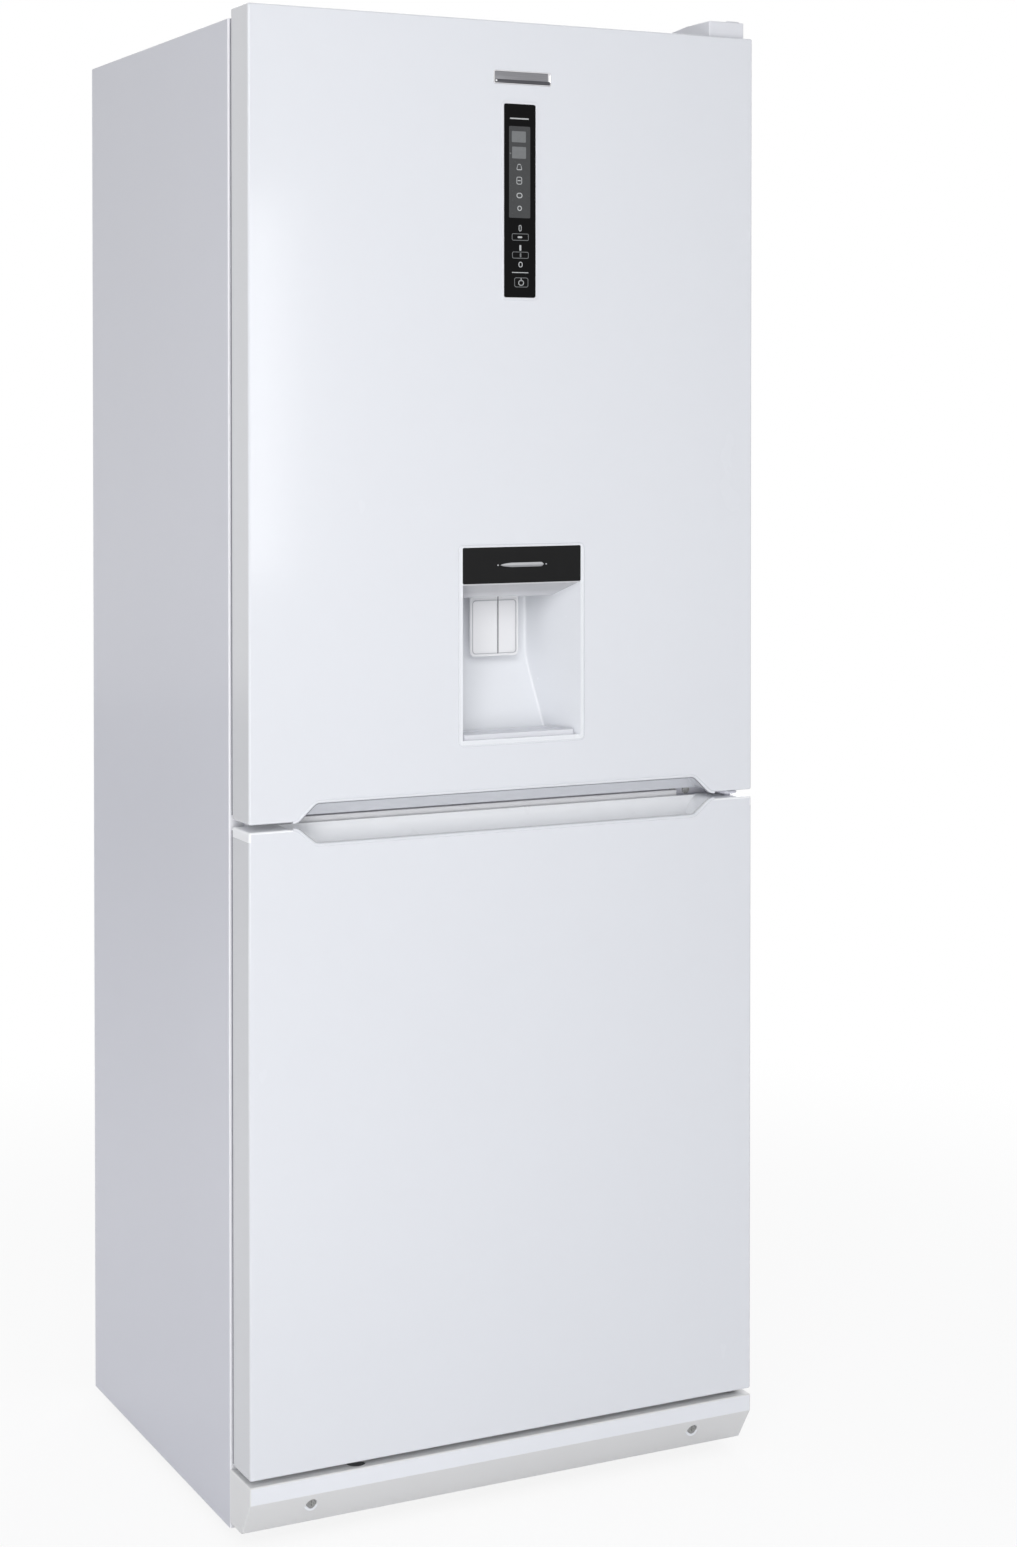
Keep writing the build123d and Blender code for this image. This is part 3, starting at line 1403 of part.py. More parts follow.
# Water nozzle: a bent spout from the tank's front wall
with BuildPart() as dispenser_nozzle:
    rod_z(FEATURE_X, NOZZLE_Y, POCKET_Z1 - 4 * NOZZLE_R, SPIGOT_Z + NOZZLE_R, NOZZLE_R)
    rod_y(FEATURE_X, SPIGOT_Z, NOZZLE_Y, PLUG_B, NOZZLE_R)
    rod_z(FEATURE_X, NOZZLE_Y, POCKET_Z1 - 4 * NOZZLE_R, SPIGOT_Z, NOZZLE_R / 2, Mode.SUBTRACT)
    rod_y(FEATURE_X, SPIGOT_Z, NOZZLE_Y, PLUG_B, NOZZLE_R / 2, Mode.SUBTRACT)
save(dispenser_nozzle, "dispenser_nozzle")

# Water tank inside the door
with BuildPart() as water_tank:
    slab(-BIN_X, BIN_X, PLUG_B, PLUG_B + TANK_DEEP, TANK_Z0, TANK_Z1)
    slab(
        TUB_WALL - BIN_X,
        BIN_X - TUB_WALL,
        PLUG_B + TUB_WALL,
        PLUG_B + TANK_DEEP - TUB_WALL,
        TANK_Z0 + TUB_WALL,
        TANK_Z1 - TUB_WALL,
        Mode.SUBTRACT,
    )
    slab(
        -BIN_X / 2,
        BIN_X / 2,
        PLUG_B + 6 * TUB_WALL,
        PLUG_B + TANK_DEEP - 6 * TUB_WALL,
        TANK_Z1 - TUB_WALL,
        TANK_Z1,
        Mode.SUBTRACT,
    )
    rod_y(FEATURE_X, SPIGOT_Z, PLUG_B, PLUG_B + TUB_WALL, NOZZLE_R / 2, Mode.SUBTRACT)
save(water_tank, "water_tank")

PANEL_Z = UPPER_Z1 - PANEL_DROP - PANEL_H / 2


def panel_block(front, back, mode=Mode.ADD):
    """Control panel's outline, drawn back from its front."""
    with BuildSketch(facing(front)) as face:
        with Locations((PANEL_X, PANEL_Z)):
            RectangleRounded(PANEL_W, PANEL_H, PANEL_CORNER)
    extrude(face.sketch, amount=front - back, mode=mode)


# Upper door skin with its cut-outs
with BuildPart() as fridge_door_skin:
    door_block(0, DOOR_B, U_SKIN_Z0, U_SKIN_Z1)
    door_block(SHEET, DOOR_B + 1, U_SKIN_Z0, U_SKIN_Z1, Mode.SUBTRACT)
    panel_block(DOOR_F, DOOR_F + SHEET, Mode.SUBTRACT)
    add(bowl_shell.part, mode=Mode.SUBTRACT)
    grip_outline(UPPER_Z0, UPPER_TIP, GRIP_WIDE, GRIP_NARROW, DOOR_F, DOOR_F + SHEET, Mode.SUBTRACT)
save(fridge_door_skin, "fridge_door_skin")

# Upper door end caps
with BuildPart() as fridge_door_top_cap:
    door_block(0, DOOR_B, U_SKIN_Z1, UPPER_Z1)
    fillet(fridge_door_top_cap.edges().group_by(Axis.Z)[-1], CAP_EDGE)
    rod_z(AXIS_X, AXIS_Y, UPPER_Z1 - PIN_REACH - PIN_END, UPPER_Z1, PIN_R + RUN, Mode.SUBTRACT)
save(fridge_door_top_cap, "fridge_door_top_cap")

with BuildPart() as fridge_door_bottom_cap:
    door_block(0, DOOR_B, UPPER_Z0, U_SKIN_Z0)
    fillet(fridge_door_bottom_cap.edges().group_by(Axis.Z)[0], CAP_EDGE)
    grip_housing(U_SKIN_Z0, U_GRIP_Z1)
    add(upper_void.part, mode=Mode.SUBTRACT)
    rod_z(AXIS_X, AXIS_Y, UPPER_Z0, UPPER_Z0 + PIN_REACH + PIN_END, MID_PIN_R + RUN, Mode.SUBTRACT)
save(fridge_door_bottom_cap, "fridge_door_bottom_cap")

# Upper door lining with the ribs that hold the bins and the tank
LINING_F = DOOR_B - LINER
U_PLUG_Z0 = FRIDGE_Z0 + PLUG_IN
U_PLUG_Z1 = FRIDGE_Z1 - PLUG_IN
with BuildPart() as fridge_door_liner:
    slab(-INNER_X, INNER_X, LINING_F, DOOR_B, U_SKIN_Z0, U_SKIN_Z1)
    slab(-PLUG_X, PLUG_X, LINING_F, PLUG_B, U_PLUG_Z0, U_PLUG_Z1)
    slab(
        LINER - PLUG_X,
        PLUG_X - LINER,
        LINING_F,
        PLUG_B - LINER,
        U_PLUG_Z0 + LINER,
        U_PLUG_Z1 - LINER,
        Mode.SUBTRACT,
    )
    for side in (-1, 1):
        rib = sorted((side * BIN_X, side * (BIN_X + DYKE_T)))
        slab(
            *rib,
            PLUG_B - LINER,
            PLUG_B + DYKE_DEEP,
            U_PLUG_Z0 + PLUG_IN,
            U_PLUG_Z1 - PLUG_IN,
        )
    add(bowl_shell.part, mode=Mode.SUBTRACT)
    rod_y(FEATURE_X, SPIGOT_Z, LINING_F, PLUG_B, NOZZLE_R + LOOSE, Mode.SUBTRACT)
    rod_z(
        FEATURE_X,
        NOZZLE_Y,
        POCKET_Z1,
        SPIGOT_Z + NOZZLE_R + LOOSE,
        NOZZLE_R + LOOSE,
        Mode.SUBTRACT,
    )
save(fridge_door_liner, "fridge_door_liner")

# Upper door foam
with BuildPart() as fridge_door_foam:
    door_block(SHEET, LINING_F, U_SKIN_Z0, U_SKIN_Z1)
    slab(
        LINER - PLUG_X,
        PLUG_X - LINER,
        LINING_F,
        PLUG_B - LINER,
        U_PLUG_Z0 + LINER,
        U_PLUG_Z1 - LINER,
    )
    add(bowl_shell.part, mode=Mode.SUBTRACT)
    grip_housing(U_SKIN_Z0, U_GRIP_Z1, Mode.SUBTRACT)
    panel_block(DOOR_F + SHEET, DOOR_F + PANEL_BODY, Mode.SUBTRACT)
    rod_y(FEATURE_X, SPIGOT_Z, NOZZLE_Y, PLUG_B, NOZZLE_R + LOOSE, Mode.SUBTRACT)
    rod_z(
        FEATURE_X,
        NOZZLE_Y,
        POCKET_Z1,
        SPIGOT_Z + NOZZLE_R + LOOSE,
        NOZZLE_R + LOOSE,
        Mode.SUBTRACT,
    )
save(fridge_door_foam, "fridge_door_foam")


# Door seals
def gasket(z0, z1):
    """Rectangular seal between a door lining and the case front."""
    outer = AXIS_X - GASKET_IN
    inner = outer - GASKET_W
    slab(-outer, outer, DOOR_B, CASE_F, z0, z1)
    slab(-inner, inner, DOOR_B, CASE_F, z0 + GASKET_W, z1 - GASKET_W, Mode.SUBTRACT)


SEAL_EDGE = 6.0
with BuildPart() as fridge_door_gasket:
    gasket(UPPER_Z0 + SEAL_EDGE, CASE_Z1 - 2 * SEAL_EDGE)
save(fridge_door_gasket, "fridge_door_gasket")

# Door bins between the lining's ribs
BIN_LOW = TANK_Z1 + BIN_LIFT
BIN_STEP = (U_PLUG_Z1 - 2 * PLUG_IN - BIN_LOW) / BIN_COUNT
BIN_HEIGHT = BIN_FILL * BIN_STEP
for number in range(1, BIN_COUNT + 1):
    bin_z = BIN_LOW + (number - 1) * BIN_STEP
    with BuildPart() as door_bin:
        tub(-BIN_X, BIN_X, PLUG_B, PLUG_B + BIN_DEEP, bin_z, bin_z + BIN_HEIGHT)
        slab(
            TUB_WALL - BIN_X,
            BIN_X - TUB_WALL,
            PLUG_B,
            PLUG_B + TUB_WALL,
            bin_z + BIN_HEIGHT / 2,
            bin_z + BIN_HEIGHT,
            Mode.SUBTRACT,
        )
    save(door_bin, f"door_bin_{number}")

# Control panel and plain badge on the upper door
with BuildPart() as control_panel:
    panel_block(DOOR_F - RIM_PROUD / 2, DOOR_F + PANEL_BODY)
save(control_panel, "control_panel")

BADGE_Z = UPPER_Z1 - BADGE_DROP
with BuildPart() as badge_plate:
    slab(
        FEATURE_X - BADGE_W / 2,
        FEATURE_X + BADGE_W / 2,
        DOOR_F - PROUD,
        DOOR_F,
        BADGE_Z - BADGE_H / 2,
        BADGE_Z + BADGE_H / 2,
    )
    chamfer(badge_plate.faces().sort_by(Axis.Y)[0].edges(), PROUD / 2)
save(badge_plate, "badge_plate")

# Lower door levels
L_SKIN_Z0 = LOWER_Z0 + FOOT_CAP
L_SKIN_Z1 = LOWER_Z1 - GRIP_CAP
L_GRIP_Z0 = LOWER_TIP - GRIP_HOOK - GRIP_WALL

# Lower door skin
with BuildPart() as freezer_door_skin:
    door_block(0, DOOR_B, L_SKIN_Z0, L_SKIN_Z1)
    door_block(SHEET, DOOR_B + 1, L_SKIN_Z0, L_SKIN_Z1, Mode.SUBTRACT)
    grip_outline(LOWER_Z1, LOWER_TIP, GRIP_WIDE, GRIP_NARROW, DOOR_F, DOOR_F + SHEET, Mode.SUBTRACT)
save(freezer_door_skin, "freezer_door_skin")

# Lower door end caps
with BuildPart() as freezer_door_top_cap:
    door_block(0, DOOR_B, L_SKIN_Z1, LOWER_Z1)
    fillet(freezer_door_top_cap.edges().group_by(Axis.Z)[-1], CAP_EDGE)
    grip_housing(L_GRIP_Z0, L_SKIN_Z1)
    add(lower_void.part, mode=Mode.SUBTRACT)
    rod_z(AXIS_X, AXIS_Y, LOWER_Z1 - PIN_REACH - PIN_END, LOWER_Z1, MID_PIN_R + RUN, Mode.SUBTRACT)
save(freezer_door_top_cap, "freezer_door_top_cap")

with BuildPart() as freezer_door_bottom_cap:
    door_block(0, DOOR_B, LOWER_Z0, L_SKIN_Z0)
    fillet(freezer_door_bottom_cap.edges().group_by(Axis.Z)[0], CAP_EDGE)
    rod_z(AXIS_X, AXIS_Y, LOWER_Z0, LOWER_Z0 + PIN_REACH + PIN_END, PIN_R + RUN, Mode.SUBTRACT)
save(freezer_door_bottom_cap, "freezer_door_bottom_cap")

# Lower door lining
L_PLUG_Z0 = FREEZER_Z0 + PLUG_IN
L_PLUG_Z1 = FREEZER_Z1 - PLUG_IN
with BuildPart() as freezer_door_liner:
    slab(-INNER_X, INNER_X, LINING_F, DOOR_B, L_SKIN_Z0, L_SKIN_Z1)
    slab(-PLUG_X, PLUG_X, LINING_F, PLUG_B, L_PLUG_Z0, L_PLUG_Z1)
    slab(
        LINER - PLUG_X,
        PLUG_X - LINER,
        LINING_F,
        PLUG_B - LINER,
        L_PLUG_Z0 + LINER,
        L_PLUG_Z1 - LINER,
        Mode.SUBTRACT,
    )
save(freezer_door_liner, "freezer_door_liner")

# Lower door foam
with BuildPart() as freezer_door_foam:
    door_block(SHEET, LINING_F, L_SKIN_Z0, L_SKIN_Z1)
    slab(
        LINER - PLUG_X,
        PLUG_X - LINER,
        LINING_F,
        PLUG_B - LINER,
        L_PLUG_Z0 + LINER,
        L_PLUG_Z1 - LINER,
    )
    grip_housing(L_GRIP_Z0, L_SKIN_Z1, Mode.SUBTRACT)
save(freezer_door_foam, "freezer_door_foam")

with BuildPart() as freezer_door_gasket:
    gasket(LOWER_Z0 + SEAL_EDGE + SLIP, LOWER_Z1 - SEAL_EDGE)
save(freezer_door_gasket, "freezer_door_gasket")
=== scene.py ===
"""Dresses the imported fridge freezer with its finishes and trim, and sets the studio round it.

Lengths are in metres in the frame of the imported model: +X to the right of a person facing the
doors, +Y to the back, +Z up, with the floor at zero.
"""

import logging
import math
from dataclasses import dataclass, field, replace
from enum import Enum
from typing import Dict, List, Optional, Sequence, Tuple, Union

import bmesh
import bpy
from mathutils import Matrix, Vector


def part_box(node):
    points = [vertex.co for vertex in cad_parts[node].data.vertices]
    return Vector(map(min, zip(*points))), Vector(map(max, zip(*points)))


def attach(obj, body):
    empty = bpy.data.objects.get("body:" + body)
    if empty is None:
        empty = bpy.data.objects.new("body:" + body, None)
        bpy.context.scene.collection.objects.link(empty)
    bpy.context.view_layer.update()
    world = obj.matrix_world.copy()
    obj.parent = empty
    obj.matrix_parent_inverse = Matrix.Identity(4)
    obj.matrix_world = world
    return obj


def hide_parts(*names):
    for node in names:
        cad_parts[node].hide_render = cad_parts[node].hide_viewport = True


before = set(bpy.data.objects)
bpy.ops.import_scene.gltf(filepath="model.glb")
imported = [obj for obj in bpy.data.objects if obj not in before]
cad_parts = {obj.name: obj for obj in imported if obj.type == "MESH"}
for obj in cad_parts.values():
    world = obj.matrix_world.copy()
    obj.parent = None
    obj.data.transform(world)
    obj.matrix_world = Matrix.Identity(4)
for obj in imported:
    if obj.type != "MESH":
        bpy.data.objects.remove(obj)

LOG = logging.getLogger("fridge_freezer")

Colour = Tuple[float, float, float, float]
Point2 = Tuple[float, float]
Point3 = Tuple[float, float, float]
Loop = List[Vector]
Value = Union["Wire", float, Colour, Point3]
Patterns = Tuple["Wire", "Wire", Optional["Wire"]]

EVEN: Point3 = (1.0, 1.0, 1.0)
WHITE: Colour = (1.0, 1.0, 1.0, 1.0)
CREASE_ANGLE = math.radians(38)
BEVEL_ANGLE = math.radians(42)
BEVEL_STEPS = 3
WELD_REACH = 1e-5


class Body(Enum):
    """Bodies that scene pieces ride on."""

    CABINET = "cabinet"
    FRIDGE_DOOR = "fridge_door"
    FREEZER_DOOR = "freezer_door"
    PADDLE = "paddle"
    CRISPER = "crisper"
    DRAWER_TOP = "freezer_drawer_top"
    DRAWER_MIDDLE = "freezer_drawer_middle"
    DRAWER_BOTTOM = "freezer_drawer_bottom"


class Slot(Enum):
    """Material slots of the record that scene pieces are listed under; no piece is given a slot."""

    CASE_PAINT = "case_paint"
    WHITE_PLASTIC = "white_plastic"
    CLEAR_PLASTIC = "clear_plastic"
    BLACK_GLOSS = "black_gloss"
    BRIGHT_TRIM = "bright_trim"
    SEAL_RUBBER = "seal_rubber"
    BLACK_SHELL = "black_shell"


def display(red: int, green: int, blue: int) -> Colour:
    """Turn a colour as a screen shows it into a linear one.

    Args:
        red: Red from 0 to 255.
        green: Green from 0 to 255.
        blue: Blue from 0 to 255.

    Returns:
        The linear colour with full alpha.
    """

    def linear(level: int) -> float:
        """Undo the screen's curve for one channel."""
        share = level / 255
        return share / 12.92 if share <= 0.04045 else ((share + 0.055) / 1.055) ** 2.4

    return (linear(red), linear(green), linear(blue), 1.0)


def dimmed(colour: Colour, share: float) -> Colour:
    """A linear colour of which only a share is left, with its alpha kept."""
    return (colour[0] * share, colour[1] * share, colour[2] * share, colour[3])


class Wire:
    """A node's output that adds Math nodes when it is used in an expression."""

    def __init__(self, graph: "Graph", socket: Optional[bpy.types.NodeSocket]) -> None:
        """Keep the graph and the output, which is None behind a closing node."""
        self.graph = graph
        self.socket = socket

    def _math(self, operation: str, first: Value, second: Value = 0.0) -> "Wire":
        """Result of one Math node on two values or links."""
        return self.graph.node("ShaderNodeMath", {"operation": operation}, {0: first, 1: second})

    def __add__(self, other: Value) -> "Wire":
        """Sum of two values."""
        return self._math("ADD", self, other)

    def __radd__(self, other: Value) -> "Wire":
        """Sum with the number on the left."""
        return self._math("ADD", other, self)

    def __sub__(self, other: Value) -> "Wire":
        """Difference of two values."""
        return self._math("SUBTRACT", self, other)

    def __rsub__(self, other: Value) -> "Wire":
        """Difference with the number on the left."""
        return self._math("SUBTRACT", other, self)

    def __mul__(self, other: Value) -> "Wire":
        """Product of two values."""
        return self._math("MULTIPLY", self, other)

    def __rmul__(self, other: Value) -> "Wire":
        """Product with the number on the left."""
        return self._math("MULTIPLY", other, self)

    def __abs__(self) -> "Wire":
        """Size of a value without its sign."""
        return self._math("ABSOLUTE", self)

    def above(self, limit: float) -> "Wire":
        """One where the value is over the limit, zero elsewhere."""
        return self._math("GREATER_THAN", self, limit)

    def ease(self, low: float, high: float) -> "Wire":
        """Smooth step from zero at low to one at high.

        Args:
            low: Where the step starts.
            high: Where the step ends.

        Returns:
            The step, from 0 to 1.
        """
        return self.graph.node(
            "ShaderNodeMapRange",
            {"interpolation_type": "SMOOTHSTEP"},
            {"Value": self, "From Min": low, "From Max": high, "To Min": 0.0, "To Max": 1.0},
        )


class Graph:
    """Builds the nodes of one material or of the world."""

    def __init__(self, tree: bpy.types.NodeTree) -> None:
        """Empty the tree and keep it."""
        tree.nodes.clear()
        self.tree = tree

    def node(
        self,
        kind: str,
        settings: Optional[Dict[str, object]] = None,
        inputs: Optional[Dict[Union[int, str], Value]] = None,
        output: Union[int, str] = 0,
    ) -> Wire:
        """Add one node.

        Args:
            kind: The node's type.
            settings: Its own settings, which are set first.
            inputs: Values or links of its sockets, by place or name.
            output: Which of its outputs is handed back, by place or name.

        Returns:
            The chosen output.
        """
        made = self.tree.nodes.new(kind)
        for key, value in (settings or {}).items():
            setattr(made, key, value)
        for key, value in (inputs or {}).items():
            if isinstance(value, Wire):
                self.tree.links.new(value.socket, made.inputs[key])
            else:
                made.inputs[key].default_value = value
        return Wire(self, made.outputs[output] if len(made.outputs) else None)

    def place(self, stretch: Point3 = EVEN) -> Wire:
        """Place on the object as a vector, stretched along its axes."""
        where = self.node("ShaderNodeTexCoord", output="Object")
        return self.node("ShaderNodeMapping", {"vector_type": "POINT"}, {"Vector": where, "Scale": stretch})

    def split(self, vector: Wire) -> List[Wire]:
        """X, Y and Z of a vector."""
        parts = self.node("ShaderNodeSeparateXYZ", None, {"Vector": vector})
        return [Wire(self, part) for part in parts.socket.node.outputs]

    def noise(self, scale: float, detail: float = 2.0, stretch: Point3 = EVEN) -> Wire:
        """Soft noise over the surface.

        Args:
            scale: Grains per metre.
            detail: How many finer layers are added.
            stretch: Factor along X, Y and Z, for streaks.

        Returns:
            The noise, from 0 to 1.
        """
        inputs = {"Vector": self.place(stretch), "Scale": scale, "Detail": detail}
        return self.node("ShaderNodeTexNoise", None, inputs)

    def cells(self, scale: float, output: str) -> Wire:
        """Cells over the surface, as their Distance or their Color."""
        inputs = {"Vector": self.place(), "Scale": scale, "Randomness": 1.0}
        return self.node("ShaderNodeTexVoronoi", None, inputs, output)

    def mix(self, factor: Value, first: Value, second: Value) -> Wire:
        """Mix two colours, by sockets that go by place because their names repeat.

        Args:
            factor: Share of the second colour.
            first: The colour at factor 0.
            second: The colour at factor 1.

        Returns:
            The mixed colour.
        """
        settings = {"data_type": "RGBA", "clamp_factor": True}
        return self.node("ShaderNodeMix", settings, {0: factor, 6: first, 7: second}, output=2)

    def bump(self, height: Wire, strength: float, distance: float) -> Wire:
        """Relief from a height.

        Args:
            height: The height over the surface.
            strength: How much of the relief shows, from 0 to 1.
            distance: The relief's depth in metres.

        Returns:
            The bent normal.
        """
        inputs = {"Strength": strength, "Distance": distance, "Height": height}
        return self.node("ShaderNodeBump", None, inputs)

    def shade(self, sockets: Dict[str, Value]) -> None:
        """Close a material with one shader that has these values and links."""
        shader = self.node("ShaderNodeBsdfPrincipled", None, sockets)
        self.node("ShaderNodeOutputMaterial", None, {"Surface": shader})


@dataclass(frozen=True)
class Finish:
    """How a surface looks: a colour and a gloss that drift over it, and a fine relief.

    The colour drifts down to dim times itself, the roughness swings about its middle value, and
    the relief shows with its strength and its depth in metres.
    """

    name: str
    colour: Colour
    roughness: float
    dim: float = 0.965
    swing: float = 0.07
    relief: float = 0.10
    depth: float = 0.00025

    def material(self) -> bpy.types.Material:
        """Material of this finish, made once and shared after that.

        Returns:
            The material.
        """
        made = bpy.data.materials.get("finish_" + self.name)
        if made is None:
            made = bpy.data.materials.new("finish_" + self.name)
            made.use_nodes = True
            graph = Graph(made.node_tree)
            graph.shade(self.sockets(graph))
        return made

    def sockets(self, graph: Graph) -> Dict[str, Value]:
        """Values and links of the shader's sockets.

        Args:
            graph: The graph of the material being made.

        Returns:
            The sockets by name.
        """
        cloud, rub, skin = self.patterns(graph)
        sockets: Dict[str, Value] = {
            "Base Color": self.tone(graph, cloud),
            "Roughness": self.roughness + self.swing * (rub - 0.5),
            **self.fixed(),
        }
        if skin is not None:
            sockets["Normal"] = graph.bump(skin, self.relief, self.depth)
        return sockets

    def patterns(self, graph: Graph) -> Patterns:
        """What the colour, the roughness and the relief follow, each from 0 to 1."""
        raise NotImplementedError(f"{self.name} has no patterns")

    def tone(self, graph: Graph, cloud: Wire) -> Wire:
        """Base colour, which drifts with the cloud."""
        return self.drifted(graph, cloud, self.colour)

    def drifted(self, graph: Graph, cloud: Wire, colour: Colour) -> Wire:
        """A colour that is dimmed where the cloud is high."""
        return graph.mix(cloud, colour, dimmed(colour, self.dim))

    def fixed(self) -> Dict[str, Value]:
        """Sockets that have one value all over."""
        return {}


@dataclass(frozen=True)
class PaintedSheet(Finish):
    """Baked enamel on sheet steel, with the slight ripple of a sprayed coat."""

    dim: float = 0.975
    swing: float = 0.06
    relief: float = 0.05
    depth: float = 0.0004
    coat: float = 0.25
    coat_rough: float = 0.12
    gloss: float = 0.5

    def patterns(self, graph: Graph) -> Patterns:
        """A slow drift, wiping smears and the coat's ripple."""
        smear = graph.noise(scale=14.0, detail=4.0, stretch=(1.0, 1.0, 0.5))
        return graph.noise(scale=1.6, detail=3.0), smear, graph.noise(scale=320.0, detail=1.0)

    def fixed(self) -> Dict[str, Value]:
        """The enamel's gloss and its coat."""
        return {"Specular IOR Level": self.gloss, "Coat Weight": self.coat, "Coat Roughness": self.coat_rough}


class Axis(Enum):
    """Axis that a face looks along, either way."""

    ACROSS = 0
    DEEP = 1


@dataclass(frozen=True)
class LitAndShadedSheet(PaintedSheet):
    """Enamel with painted light and shade: a second tone on the faces that look along one axis."""

    # Tone of the painted light and shade on the turned faces.
    second: Colour = WHITE
    axis: Axis = Axis.ACROSS
    turn: Point2 = (0.60, 0.95)

    def tone(self, graph: Graph, cloud: Wire) -> Wire:
        """Base colour, and the second tone of painted light and shade on the turned faces.

        Args:
            graph: The graph of the material being made.
            cloud: What both tones drift with.

        Returns:
            The colour over the surface.
        """
        normal = graph.node("ShaderNodeTexCoord", output="Normal")
        # Painted light and shade: faces that look along the axis take the second tone.
        turned = abs(graph.split(normal)[self.axis.value]).ease(*self.turn)
        return graph.mix(turned, super().tone(graph, cloud), self.drifted(graph, cloud, self.second))


@dataclass(frozen=True)
class MouldedPlastic(Finish):
    """Injection-moulded plastic with a fine eroded grain."""

    def patterns(self, graph: Graph) -> Patterns:
        """A faint flow, soft rubbing and the mould's grain."""
        flow = graph.noise(scale=9.0, detail=3.0, stretch=(0.4, 1.0, 1.0))
        return flow, graph.noise(scale=30.0, detail=3.0), graph.noise(scale=1500.0, detail=1.0)


@dataclass(frozen=True)
class ClearPlastic(Finish):
    """See-through drawer and bin plastic with faint flow marks."""

    dim: float = 0.93
    swing: float = 0.10
    relief: float = 0.05
    depth: float = 0.0004
    clear: float = 0.80
    bending: float = 1.49

    def patterns(self, graph: Graph) -> Patterns:
        """Flow marks in colour and gloss, and a slight waviness."""
        flow = graph.noise(scale=11.0, detail=4.0, stretch=(1.0, 0.5, 1.0))
        return flow, flow, graph.noise(scale=260.0)

    def fixed(self) -> Dict[str, Value]:
        """How far light goes through, and how much it bends."""
        return {"IOR": self.bending, "Transmission Weight": self.clear}


@dataclass(frozen=True)
class Rubber(Finish):
    """Soft seal or tread with a dull fine skin."""

    dim: float = 0.88
    swing: float = 0.12
    relief: float = 0.20
    depth: float = 0.0003

    def patterns(self, graph: Graph) -> Patterns:
        """Dust in colour and gloss, and the fine skin."""
        dust = graph.noise(scale=25.0, detail=4.0)
        return dust, dust, graph.noise(scale=700.0, detail=3.0)


@dataclass(frozen=True)
class BlackGlass(Finish):
    """Gloss black panel with faint wiping marks."""

    dim: float = 0.6
    swing: float = 0.14
    relief: float = 0.02
    depth: float = 0.0002
    gloss: float = 0.18

    def patterns(self, graph: Graph) -> Patterns:
        """Wiping marks in all three."""
        wipe = graph.noise(scale=40.0, detail=5.0, stretch=(1.0, 1.0, 0.35))
        return wipe, wipe, wipe

    def fixed(self) -> Dict[str, Value]:
        """The panel's gloss."""
        return {"Specular IOR Level": self.gloss}


@dataclass(frozen=True)
class Metal(Finish):
    """Bare metal."""

    def fixed(self) -> Dict[str, Value]:
        """Metal all over."""
        return {"Metallic": 1.0}


@dataclass(frozen=True)
class BrushedMetal(Metal):
    """Metal with brush lines along one axis."""

    dim: float = 0.72
    swing: float = 0.16
    relief: float = 0.12
    depth: float = 0.0002
    lines: Point3 = (0.02, 1.0, 1.0)

    def patterns(self, graph: Graph) -> Patterns:
        """Brush lines in all three."""
        brush = graph.noise(scale=1400.0, detail=2.0, stretch=self.lines)
        return brush, brush, brush


@dataclass(frozen=True)
class ZincSheet(Metal):
    """Galvanised sheet with its crystal flowers, which are a little duller than the rest."""

    dim: float = 0.80
    swing: float = 0.14
    relief: float = 0.06
    depth: float = 0.0005
    flowers: float = 90.0
    bloom: float = 0.08 / 0.14

    def patterns(self, graph: Graph) -> Patterns:
        """Flowers in colour and gloss over a rough skin.

        Args:
            graph: The graph of the material being made.

        Returns:
            What the colour, the roughness and the relief follow.
        """
        flower = graph.cells(self.flowers, "Color")
        level = graph.node("ShaderNodeSeparateColor", None, {"Color": flower})
        rough = graph.noise(scale=50.0, detail=4.0)
        return level, rough + self.bloom * level, rough


@dataclass(frozen=True)
class Foam(Finish):
    """Cut face of rigid foam with open cells."""

    dim: float = 0.82
    swing: float = 0.05
    relief: float = 0.35
    depth: float = 0.0006
    cells: float = 420.0

    def patterns(self, graph: Graph) -> Patterns:
        """Open cells in all three."""
        cell = graph.cells(self.cells, "Distance")
        return cell, cell, cell


@dataclass(frozen=True)
class RibbedLens(Finish):
    """Lamp cover with fine ribs across it."""

    dim: float = 0.9
    swing: float = 0.05
    relief: float = 0.4
    depth: float = 0.0008
    ribs: float = 420.0 / 6.3
    clear: float = 0.35

    def patterns(self, graph: Graph) -> Patterns:
        """Ribs in all three.

        Args:
            graph: The graph of the material being made.

        Returns:
            What the colour, the roughness and the relief follow.
        """
        settings = {"wave_type": "BANDS", "bands_direction": "X"}
        inputs = {"Vector": graph.place(), "Scale": self.ribs}
        rib = graph.node("ShaderNodeTexWave", settings, inputs, output=1)
        return rib, rib, rib

    def fixed(self) -> Dict[str, Value]:
        """How far light goes through."""
        return {"Transmission Weight": self.clear}


@dataclass(frozen=True)
class PanelInk(Finish):
    """Pale print and windows behind the panel's glass, with no relief."""

    dim: float = 0.80
    swing: float = 0.08
    gloss: float = 0.25

    def patterns(self, graph: Graph) -> Patterns:
        """Uneven print in colour and gloss."""
        fade = graph.noise(scale=220.0, detail=2.0)
        return fade, fade, None

    def fixed(self) -> Dict[str, Value]:
        """The print's gloss."""
        return {"Specular IOR Level": self.gloss}
